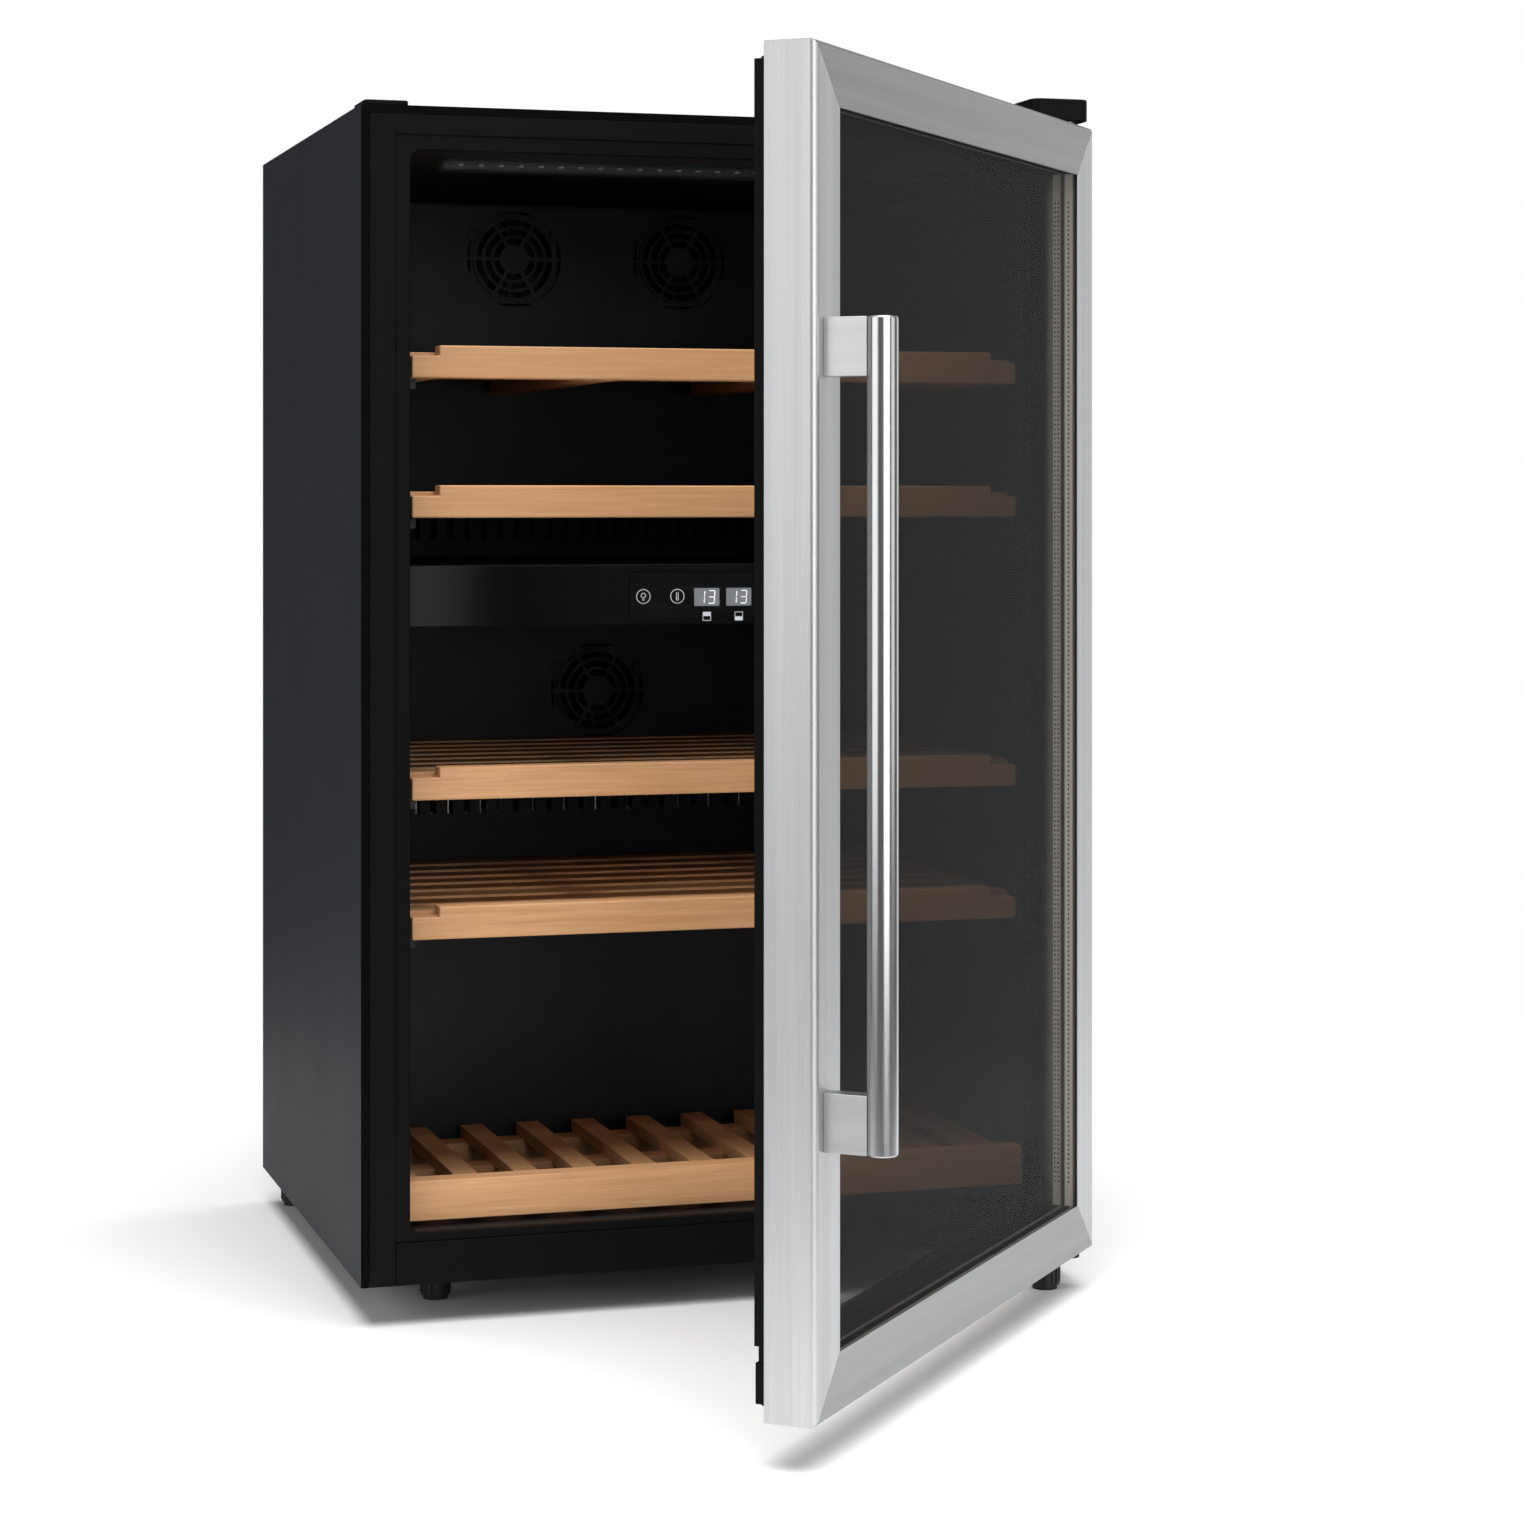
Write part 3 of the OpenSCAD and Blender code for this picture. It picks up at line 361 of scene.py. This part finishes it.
def ring_mesh(mesh, middle, radius, width, segments=32):
    """A flat ring facing the room, made of one strip of faces."""
    outer = bmesh.ops.create_circle(mesh, cap_ends=False, radius=radius, segments=segments)["verts"]
    inner = bmesh.ops.create_circle(mesh, cap_ends=False, radius=radius - width, segments=segments)["verts"]
    edges = list({e for v in outer + inner for e in v.link_edges})
    bmesh.ops.bridge_loops(mesh, edges=edges)
    turn = Matrix.Rotation(math.radians(90), 4, "X")
    bmesh.ops.transform(mesh, matrix=Matrix.Translation(middle) @ turn, verts=outer + inner)


def bar_sign(mesh, x, z, width, height, lean=0.0):
    """A flat bar facing the room, leaning sideways by lean at its top."""
    verts = box_mesh(mesh, (x - width / 2, sign_y - 0.05 * MM, z - height / 2),
                     (x + width / 2, sign_y, z + height / 2))
    for v in verts:
        v.co.x += lean * (v.co.z - z) / height


# Distance of each sign from the window's middle, in mm
key_x = {"lamp": -41.9, "temperature": -16.3}
display_x = [6.0, 30.3]
display_low, display_high, zone_z, key_z = -8.6, 4.4, -15.4, -1.4
key_r, ring_line, bar_line, zone_size, display_half = 5.3, 0.45, 0.4, 6, 9.5

signs = bmesh.new()
middle_x, middle_z = window_middle.x, window_middle.z
for name, x in key_x.items():
    centre = Vector((middle_x + x * MM, sign_y - 0.03 * MM, middle_z + key_z * MM))
    ring_mesh(signs, centre, key_r * MM, ring_line * MM)
    if name == "lamp":
        ring_mesh(signs, centre + Vector((0, 0, 0.7 * MM)), 1.9 * MM, ring_line * MM, 20)
        for step in range(2):
            bar_sign(signs, centre.x, centre.z - (1.9 + 0.9 * step) * MM, (1.8 - 0.6 * step) * MM,
                     bar_line * MM)
    else:
        ring_mesh(signs, centre - Vector((0, 0, 2.0 * MM)), 1.1 * MM, ring_line * MM, 20)
        for side in (-1, 1):
            bar_sign(signs, centre.x + side * 0.65 * MM, centre.z + 0.9 * MM, bar_line * MM, 4.2 * MM)
for x in display_x:
    for side in (-1, 1):
        bar_sign(signs, middle_x + x * MM, middle_z + (zone_z - 0.8 + side * 3.0) * MM, zone_size * MM,
                 bar_line * MM)
        bar_sign(signs, middle_x + (x + side * 2.9) * MM, middle_z + (zone_z - 0.8) * MM, bar_line * MM,
                 zone_size * MM)
    # the filled half says which zone the display belongs to
    half = 1.5 if x == display_x[0] else -1.5
    bar_sign(signs, middle_x + x * MM, middle_z + (zone_z - 0.8 + half) * MM, 5.2 * MM, 2.6 * MM)
finished_object("panel_signs", signs, backlight_and_painted_glow("white_back_lit_print", "#c9ccd0", 0.42), "cabinet")

display_glass = bmesh.new()
for x in display_x:
    box_mesh(display_glass, (middle_x + (x - display_half) * MM, sign_y - 0.02 * MM,
                             middle_z + display_low * MM),
             (middle_x + (x + display_half) * MM, sign_y + 0.2 * MM, middle_z + display_high * MM))
finished_object("display_windows", display_glass, backlight_and_painted_glow("grey_lit_display_face", "#7d8084", 0.25),
                "cabinet")

# Which of its seven strokes each digit lights, counted clockwise from the top, with the middle one last
strokes = {1: (1, 2), 3: (0, 1, 2, 3, 6)}
digit_w, digit_h, stroke_w = 4.6 * MM, 9.2 * MM, 0.7 * MM
lean = 0.6 * MM


def seven_stroke_digit(mesh, x, z, lit):
    """Adds the lit strokes of a seven-stroke digit whose middle is at x, z."""
    for stroke in lit:
        if stroke in (0, 3, 6):
            level = {0: 1, 3: -1, 6: 0}[stroke] * digit_h / 2
            bar_sign(mesh, x + lean * level / digit_h, z + level, digit_w - stroke_w, stroke_w)
        else:
            side = 1 if stroke in (1, 2) else -1
            level = (1 if stroke in (1, 5) else -1) * digit_h / 4
            bar_sign(mesh, x + side * digit_w / 2 + lean * level / digit_h, z + level, stroke_w,
                     digit_h / 2 - stroke_w, lean / 2)


digits = bmesh.new()
digit_z = middle_z + (display_low + display_high) / 2 * MM
for x in display_x:
    for place, value in ((-4.0, 1), (3.6, 3)):
        seven_stroke_digit(digits, middle_x + (x + place) * MM, digit_z, strokes[value])
for v in digits.verts:
    v.co.y -= 0.05 * MM
finished_object("display_digits", digits, backlight_and_painted_glow("white_lit_digits", "#f4f6f8", 0.75), "cabinet")

# ---- Ceiling light ----
# A strip of light-emitting diodes on a narrow lacquered board, behind a clear ribbed polycarbonate lens that
# clips to the liner's ceiling. The light is off.


def clear_plastic(name, colour, alpha, roughness=0.12):
    """Clear moulded polycarbonate: see-through, with faint flow lines and a soft gloss."""
    material, tree, shader = new_material(name, Base_Color=linear(colour), Roughness=roughness, Alpha=alpha)
    at = place_coordinates(tree, scale=(1, 0.2, 0.2))
    ribs = add(tree, "ShaderNodeTexWave", {"Vector": at, "Scale": 1 / (16 * MM)}, bands_direction="X")
    add(tree, "ShaderNodeBump", {"Height": ribs.outputs["Fac"], "Distance": 0.4 * MM},
        to=shader.inputs["Normal"])
    return material


refine("light_lens", clear_plastic("clear_ribbed_polycarbonate", "#596062", 0.2), 1.2 * MM, 3)
lens_low, lens_high = (Vector(c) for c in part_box("light_lens"))
board_margin, board_low, board_high, chip_low = 6 * MM, 3 * MM, 1.4 * MM, 4.2 * MM
strip = bmesh.new()
box_mesh(strip, (lens_low.x + board_margin, lens_low.y + board_margin, lens_high.z - board_low),
         (lens_high.x - board_margin, lens_high.y - board_margin, lens_high.z - board_high))
bevel_edges(strip, 0.3 * MM)
# the white board is given a dark grey colour: painted shade for the recess behind the lens
finished_object("light_board", strip, moulded_plastic("white_board_painted_shade", "#3c3e3f", 0.45), "cabinet")
chips = bmesh.new()
chip_pitch, chip = 15 * MM, 3.5 * MM
chip_count = int((lens_high.x - lens_low.x - 2 * chip_pitch) / chip_pitch)
y = (lens_low.y + lens_high.y) / 2
for i in range(chip_count + 1):
    x = (lens_low.x + lens_high.x) / 2 + (i - chip_count / 2) * chip_pitch
    box_mesh(chips, (x - chip / 2, y - chip / 2, lens_high.z - chip_low),
             (x + chip / 2, y + chip / 2, lens_high.z - board_low))
bevel_edges(chips, 0.4 * MM)
# the diodes are off: the faint glow given to them is painted light
finished_object("light_chips", chips, backlight_and_painted_glow("unlit_diodes_painted_glow", "#c9cfc8", 0.06), "cabinet")

# ---- Air ducts, evaporator fans and evaporators ----
# Black moulded covers with vent slots and ringed fan grilles stand in front of the liner's back wall.
# Behind them are three axial fans of glass-filled nylon and two finned aluminium evaporators.
duct_black = moulded_plastic("grained_duct_plastic", "#1c1d1f", 0.5)
fan_black = moulded_plastic("glass_filled_nylon", "#232426", 0.55, grain=0.9, depth=0.05)
for name in ("duct_cover_upper", "duct_cover_lower"):
    finish_node(name, duct_black)
for name in ("fan_frames", "fan_rotor_left", "fan_rotor_right", "fan_rotor_lower", "condenser_fan_frame",
             "condenser_fan_rotor", "power_inlet"):
    finish_node(name, fan_black)

# A round clip with a raised bar holds the cover at the upper left and upper right of each fan's grille
clips = bmesh.new()
clip_x, clip_rise, clip_r, clip_t = 35 * MM, 18 * MM, 5 * MM, 0.6 * MM
bar_half = Vector((3 * MM, 0, 0.6 * MM))
bar_rise = Vector((0, 0.9 * MM, 0))
cover_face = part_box("duct_cover_upper")[0][1] - clip_t / 2
for fan in ("fan_rotor_left", "fan_rotor_right", "fan_rotor_lower"):
    fan_low, fan_high = (Vector(corner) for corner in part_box(fan))
    hub = (fan_low + fan_high) / 2
    for side in (-1, 1):
        clip_middle = Vector((hub.x + side * clip_x, cover_face, hub.z + clip_rise))
        clip_turn = Matrix.Translation(clip_middle) @ Matrix.Rotation(math.radians(90), 4, "X")
        bmesh.ops.create_cone(clips, cap_ends=True, segments=24, radius1=clip_r, radius2=clip_r - clip_t,
                              depth=clip_t, matrix=clip_turn)
        box_mesh(clips, clip_middle - bar_half - bar_rise, clip_middle + bar_half)
bmesh.ops.recalc_face_normals(clips, faces=clips.faces)
bevel_edges(clips, 0.15 * MM)
finished_object("duct_cover_clips", clips, fan_black, "cabinet")


def rolled_metal(name, colour, roughness, metallic=1.0):
    """Rolled or drawn metal left as made: faint streaks 0.8 mm wide along the way it was worked. A lacquer
    over it makes it less metallic."""
    material, tree, shader = new_material(name, Base_Color=linear(colour), Metallic=metallic)
    at = place_coordinates(tree, scale=(1, 1, 0.03))
    lines = add(tree, "ShaderNodeTexNoise", {"Vector": at, "Scale": 1 / (0.8 * MM), "Detail": 4.0})
    add(tree, "ShaderNodeMapRange", {"Value": lines.outputs[0], "To Min": roughness - 0.1,
                                     "To Max": roughness + 0.12},
        to=shader.inputs["Roughness"])
    add(tree, "ShaderNodeBump", {"Height": lines.outputs[0], "Distance": 0.02 * MM},
        to=shader.inputs["Normal"])
    return material


bare_aluminium = rolled_metal("mill_finish_aluminium", "#b8bbbd", 0.36)
for name in ("evaporators", "condenser"):
    finish_node(name, bare_aluminium)

# ---- Machine bay ----
# The compressor's drawn steel shell in black enamel stands on rubber grommets at the lower back, with a
# copper drier, a moulded drain tube and an open pan that catches the melt water.


def rubber(name, colour, roughness=0.75):
    """Moulded rubber: matt, with a dusty bloom that lightens it in patches."""
    material, tree, shader = new_material(name, Roughness=roughness)
    at = place_coordinates(tree)
    bloom = add(tree, "ShaderNodeTexNoise", {"Vector": at, "Scale": 1 / (12 * MM), "Detail": 5.0})
    tint = add(tree, "ShaderNodeMix", {0: bloom.outputs[0], 6: linear(colour), 7: linear("#26282a")},
               data_type="RGBA")
    tree.links.new(tint.outputs[2], shader.inputs["Base Color"])
    fine = add(tree, "ShaderNodeTexNoise", {"Vector": at, "Scale": 1 / (0.7 * MM)})
    add(tree, "ShaderNodeBump", {"Height": fine.outputs[0], "Distance": 0.04 * MM},
        to=shader.inputs["Normal"])
    return material


gasket_rubber = rubber("black_pvc_gasket", "#121314", 0.6)
finish_node("compressor", powder_coat("black_compressor_enamel", "#141517", 0.28))
finish_node("compressor_grommets", rubber("black_mount_rubber", "#161616"))
finish_node("filter_drier", rolled_metal("drawn_copper", "#b5714b", 0.32))
for name in ("drain_tube", "drain_pan"):
    finish_node(name, moulded_plastic("grey_drain_plastic_" + name, "#6a6e72", 0.5))

# ---- Hinges, caps, screws and feet ----
# Pressed steel brackets in black paint are screwed to the cabinet and carry plated pins. A moulded cap covers
# the top bracket, a blank cap covers the spare holes on the left, and four ribbed feet screw into the base.
finish_node("hinge_bracket_top", panel_grey)
refine("hinge_bracket_bottom", powder_coat("black_bracket_paint", "#191a1c", 0.45), 0.4 * MM)
plated_steel = rolled_metal("zinc_plated_steel", "#a9adb1", 0.3)
for name in ("hinge_pins", "cabinet_screws"):
    finish_node(name, plated_steel)
refine("hinge_cap", frame_black, 1.6 * MM, 3)
refine("blank_cap", frame_black, 0.8 * MM, 2)
foot_black = moulded_plastic("ribbed_foot_nylon", "#111213", 0.5)
for name in ("foot_front_left", "foot_front_right", "foot_rear_left", "foot_rear_right"):
    finish_node(name, foot_black)

# ---- Door frame ----
# Four bars of brushed stainless steel, 34.5 mm deep, mitred at the corners and joined by hidden brackets.
# The grain runs along each bar, so it turns at every mitre.
hinge = next(joint for joint in frame["joints"] if joint["name"] == "door_hinge")
pivot = Vector(hinge["pos_m"])
open_angle = math.radians(-hinge["range_deg"][0])
hang = Matrix.Translation(pivot) @ Matrix.Rotation(open_angle, 4, "Z") @ Matrix.Translation(-pivot)


def brushed_steel(name, along, colour, roughness, turn=0.0, depth=0.008):
    """Brushed stainless steel: an abrasive belt leaves hair lines some 0.3 mm apart. They are drawn 0.9 mm
    apart, because finer ones don't show. along is the axis that the lines follow, after the turn."""
    material, tree, shader = new_material(name, Metallic=1.0)
    stretch = [0.012 if axis == along else 1.0 for axis in "XYZ"]
    long_stretch = [0.004 if axis == along else 0.25 for axis in "XYZ"]
    lines = add(tree, "ShaderNodeTexNoise", {"Vector": place_coordinates(tree, stretch, turn),
                                             "Scale": 1 / (0.9 * MM), "Detail": 6.0, "Roughness": 0.7})
    bands = add(tree, "ShaderNodeTexNoise", {"Vector": place_coordinates(tree, long_stretch, turn),
                                             "Scale": 1 / (3 * MM), "Detail": 3.0})
    both = add(tree, "ShaderNodeMath", {0: lines.outputs[0], 1: bands.outputs[0]}, operation="MULTIPLY")
    tone = add(tree, "ShaderNodeMapRange", {"Value": both.outputs[0], "From Min": 0.12, "From Max": 0.4})
    dark = tuple(0.86 * c for c in linear(colour)[:3]) + (1,)
    light = tuple(min(1, 1.08 * c) for c in linear(colour)[:3]) + (1,)
    tint = add(tree, "ShaderNodeMix", {0: tone.outputs[0], 6: dark, 7: light}, data_type="RGBA")
    tree.links.new(tint.outputs[2], shader.inputs["Base Color"])
    add(tree, "ShaderNodeMapRange", {"Value": lines.outputs[0], "To Min": roughness - 0.08,
                                     "To Max": roughness + 0.1},
        to=shader.inputs["Roughness"])
    add(tree, "ShaderNodeBump", {"Height": lines.outputs[0], "Distance": depth * MM},
        to=shader.inputs["Normal"])
    return material


upright_grain = brushed_steel("stainless_brushed_upright", "Z", "#c3c4c5", 0.42)
# the level bars get a darker colour than the upright ones of the same steel: painted shade
rail_grain_painted_shade = brushed_steel("stainless_rails_painted_shade", "X", "#a1a2a3", 0.42, turn=-open_angle)
for name in ("door_stile_free", "door_stile_hinge"):
    refine(name, upright_grain, 0.4 * MM)
for name in ("door_rail_top", "door_rail_bottom"):
    refine(name, rail_grain_painted_shade, 0.4 * MM)

# ---- Door glass ----
# Three panes of smoked float glass with perforated aluminium spacer frames between them, filled with drying
# beads and sealed at the edge. Each pane darkens what is seen through it.


def smoked_glass(name, colour, alpha):
    """Smoked float glass: evenly tinted, fire-polished, with the faintest waviness in its reflections."""
    material, tree, shader = new_material(name, Base_Color=linear(colour), Roughness=0.04, Alpha=alpha)
    shader.inputs["Specular IOR Level"].default_value = 0.015
    at = place_coordinates(tree)
    wave = add(tree, "ShaderNodeTexNoise", {"Vector": at, "Scale": 1 / (120 * MM), "Detail": 1.0})
    add(tree, "ShaderNodeBump", {"Height": wave.outputs[0], "Distance": 0.03 * MM},
        to=shader.inputs["Normal"])
    return material


half_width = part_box("side_panel_right")[1][0]
door_bottom, door_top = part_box("door_stile_free")[0][2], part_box("door_stile_free")[1][2]
cabinet_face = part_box("front_frame")[0][1]
door_gap, door_depth, frame_width = 10 * MM, 34.5 * MM, 38 * MM
door_front = cabinet_face - door_gap - door_depth
pane_lip, pane_thick, pane_gap = 9 * MM, 3.2 * MM, 6 * MM
steel_lip, pane_edge = 1.4 * MM, 0.4 * MM
pane_start = door_front + steel_lip
pane_x = half_width - frame_width + pane_lip
pane_low, pane_high = door_bottom + frame_width - pane_lip, door_top - frame_width + pane_lip
# How much each pane darkens what is behind it, from 0 to 1
pane_tints = {"outer_pane": 0.3, "middle_pane": 0.22, "inner_pane": 0.22}
for i, (pane_name, tint) in enumerate(pane_tints.items()):
    pane = bmesh.new()
    y = pane_start + i * (pane_thick + pane_gap)
    box_mesh(pane, (-pane_x, y, pane_low), (pane_x, y + pane_thick, pane_high))
    bevel_edges(pane, pane_edge)
    bmesh.ops.transform(pane, matrix=hang, verts=pane.verts)
    glass = smoked_glass("smoked_float_glass_" + pane_name, "#232323", tint)
    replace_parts(finished_object(pane_name, pane, glass, "door"), "glass_panes")

# The spacers' upright runs have a pale beige lacquer, nearly matt. The level runs lie in black butyl sealant.
spacer_width = 8 * MM
finish_node("glass_spacers", rolled_metal("beige_lacquered_spacer_aluminium", "#fff3e4", 0.6, metallic=0.0))
spacers = nodes["glass_spacers"]
butyl = moulded_plastic("black_butyl_sealant", "#0c0c0d", 0.6, depth=0.004, gloss=0.1)
spacers.data.materials.append(butyl)
run_low, run_high = pane_low + spacer_width + 1 * MM, pane_high - spacer_width - 1 * MM
for face in spacers.data.polygons:
    if abs(face.normal.z) > 0.5 and not run_low < face.center.z < run_high:
        face.material_index = 1
# Rows of pin holes in the face of each upright spacer: one row in the front gap and two in the rear one
hole_pitch, hole_size, hole_lift, row_step, plain_end = 3.4 * MM, 0.75 * MM, 0.06 * MM, 1.4 * MM, 25 * MM
spacer_face_x = pane_x - spacer_width
spacer_rows = {0: (0.0,), 1: (-row_step, row_step)}
rows_z = int((pane_high - pane_low - 2 * plain_end) / hole_pitch)
holes = bmesh.new()
for gap, rows in spacer_rows.items():
    for row in rows:
        y = pane_start + (gap + 1) * pane_thick + (gap + 0.5) * pane_gap + row
        for k in range(rows_z):
            z = (pane_low + pane_high) / 2 + (k - rows_z / 2) * hole_pitch
            for side in (-1, 1):
                turn = Matrix.Rotation(math.radians(-90 * side), 4, "Y")
                place = Matrix.Translation((side * (spacer_face_x - hole_lift), y, z))
                bmesh.ops.create_circle(holes, cap_ends=True, radius=hole_size, segments=6,
                                        matrix=place @ turn)
bmesh.ops.transform(holes, matrix=hang, verts=holes.verts)
# each hole is a dark disc on the spacer's face: its dark colour is painted shade for the hollow behind the
# hole
finished_object("spacer_pin_holes", holes, moulded_plastic("pin_holes_painted_shade", "#2a241c", 0.8), "door")

# ---- Door inner frame and gasket ----
# A moulded ABS frame clips to the back of the steel bars and hides the edge of the glass. A soft PVC gasket
# with a magnet in its bulb is pushed into the frame's groove all round.


def mitred_ring(mesh, section, edge_x, edge_low, edge_high):
    """Sweeps a section round the door. Section points are (distance in from the door's edge, depth y)."""
    loops = []
    for corner_x, corner_z in ((-1, -1), (1, -1), (1, 1), (-1, 1)):
        loop = []
        for inset, depth in section:
            x = corner_x * (edge_x - inset)
            z = edge_low + inset if corner_z < 0 else edge_high - inset
            loop.append(mesh.verts.new((x, depth, z)))
        loops.append([mesh.edges.new((loop[i], loop[(i + 1) % len(loop)])) for i in range(len(loop))])
    for i in range(4):
        bmesh.ops.bridge_loops(mesh, edges=loops[i] + loops[(i + 1) % 4])
    bmesh.ops.recalc_face_normals(mesh, faces=mesh.faces)


steel_back = door_front + door_depth
inner_section = [(8, 0.2), (8, 4.6), (9.2, 5.8), (17.2, 5.8), (17.2, 3.4), (28.8, 3.4), (28.8, 5.8),
                 (40.5, 5.8),
                 (42, 4.4), (42, 0.2)]
inner = bmesh.new()
mitred_ring(inner, [(inset * MM, steel_back + depth * MM) for inset, depth in inner_section], half_width,
            door_bottom, door_top)
# A thicker lip runs up the free edge. It narrows near the bottom and ends in a small bulb.
lip_edge, lip_inner, lip_end = 3 * MM, 14 * MM, 10 * MM
lip_parts = ((45 * MM, door_top - door_bottom - lip_end, lip_edge, 7.6 * MM),
             (34 * MM, 46 * MM, lip_edge + 1.5 * MM, 5.4 * MM),
             (lip_end, 35 * MM, lip_edge + 0.5 * MM, 7.0 * MM))
for part_low, part_high, part_edge, part_back in lip_parts:
    box_mesh(inner, (-half_width + part_edge, steel_back + 0.2 * MM, door_bottom + part_low),
             (-half_width + lip_inner, steel_back + part_back, door_bottom + part_high))
bevel_edges(inner, 0.35 * MM)
bmesh.ops.transform(inner, matrix=hang, verts=inner.verts)
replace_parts(finished_object("inner_frame_moulding", inner, frame_black, "door"),
            "door_inner_frame")

# The gasket: a foot in the groove, two bellows folds and a flat magnet bulb
gasket_section = [(18.2, 3.6), (27.8, 3.6), (27.8, 5.0), (26.4, 5.9), (27.6, 6.8), (27.8, 8.6), (27.2, 9.3),
                  (18.8, 9.3),
                  (18.2, 8.6), (18.4, 6.8), (19.6, 5.9), (18.2, 5.0)]
gasket = bmesh.new()
mitred_ring(gasket, [(inset * MM, steel_back + depth * MM) for inset, depth in gasket_section], half_width,
            door_bottom, door_top)
bevel_edges(gasket, 0.3 * MM, 2, 25)
bmesh.ops.transform(gasket, matrix=hang, verts=gasket.verts)
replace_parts(finished_object("magnet_gasket", gasket, gasket_rubber, "door"), "door_gasket")

# ---- Handle ----
# A round stainless bar, brushed along its length, held by two flat brackets that are screwed through the
# door's free stile from behind.
bar_steel = brushed_steel("stainless_bar_brushed", "Z", "#bbbcbd", 0.2, depth=0.004)
bracket_steel = brushed_steel("stainless_bracket_brushed", "X", "#c3c4c5", 0.36,
                              turn=math.radians(90) - open_angle)
refine("handle_bar", bar_steel, 0.5 * MM, 2)
refine("handle_brackets", bracket_steel, 0.5 * MM, 2)

# ---- Shelves and bottom rack ----
# Solid beech, sanded and lightly oiled. Each shelf is a front board with a step at both ends, glued and
# pinned to side rails with slats across them. The bottom rack has a taller front board.


def beech(name, along, seed=0.0, tone=1.0):
    """Oiled beech: pale pink-brown with a fine straight grain, 1.5 mm wide, and short darker flecks."""
    material, tree, shader = new_material(name, Roughness=0.5)
    shader.inputs["Specular IOR Level"].default_value = 0.35
    stretch = [0.035 if axis == along else 1.0 for axis in "XYZ"]
    fleck_stretch = [0.22 if axis == along else 1.6 for axis in "XYZ"]
    at = place_coordinates(tree, stretch)
    moved = add(tree, "ShaderNodeMapping", {"Vector": at, "Location": (seed, 0.37 * seed, 0.61 * seed)})
    shifted = moved.outputs[0]
    grain = add(tree, "ShaderNodeTexNoise", {"Vector": shifted, "Scale": 1 / (2.6 * MM), "Detail": 5.0,
                                             "Roughness": 0.6, "Distortion": 0.4})
    board = add(tree, "ShaderNodeTexNoise", {"Vector": shifted, "Scale": 1 / (16 * MM), "Detail": 2.0})
    flecks = add(tree, "ShaderNodeTexVoronoi", {"Vector": place_coordinates(tree, fleck_stretch),
                                                "Scale": 1 / (1.6 * MM)})
    ramp = add(tree, "ShaderNodeValToRGB", {"Fac": grain.outputs[0]})
    for stop, position, colour in ((0, 0.3, "#b98659"), (1, 0.7, "#dfae80")):
        ramp.color_ramp.elements[stop].position = position
        ramp.color_ramp.elements[stop].color = tuple(min(1, tone * c) for c in linear(colour)[:3]) + (1,)
    streaked = add(tree, "ShaderNodeMix", {0: board.outputs[0], 6: ramp.outputs[0], 7: linear("#d6a275")},
                   data_type="RGBA")
    speck = add(tree, "ShaderNodeMapRange", {"Value": flecks.outputs["Distance"], "From Min": 0.08,
                                             "From Max": 0.2, "To Min": 0.35, "To Max": 0.0})
    flecked = add(tree, "ShaderNodeMix", {0: speck.outputs[0], 6: streaked.outputs[2],
                                          7: linear("#a87642")}, data_type="RGBA")
    tree.links.new(flecked.outputs[2], shader.inputs["Base Color"])
    add(tree, "ShaderNodeBump", {"Height": grain.outputs[0], "Distance": 0.05 * MM},
        to=shader.inputs["Normal"])
    return material


for number in range(1, 5):
    # the boards of the two lower shelves are given a paler colour: painted light, for the stronger light that
    # falls on them
    painted_light_tone = 1.0 if number < 3 else 1.22
    board = beech(f"oiled_beech_board_{number}", "X", seed=0.31 * number, tone=painted_light_tone)
    refine(f"shelf_{number}_fascia", board, 1.3 * MM, 3)
slat_beech = beech("oiled_beech_slats", "X", seed=2.2, tone=0.96)
for number in range(1, 5):
    refine(f"shelf_{number}_deck", slat_beech, 0.8 * MM)
# the rack's beech is made paler still: painted light, as on the lower boards
refine("bottom_rack", beech("oiled_beech_rack", "X", seed=3.7, tone=1.38), 0.9 * MM)
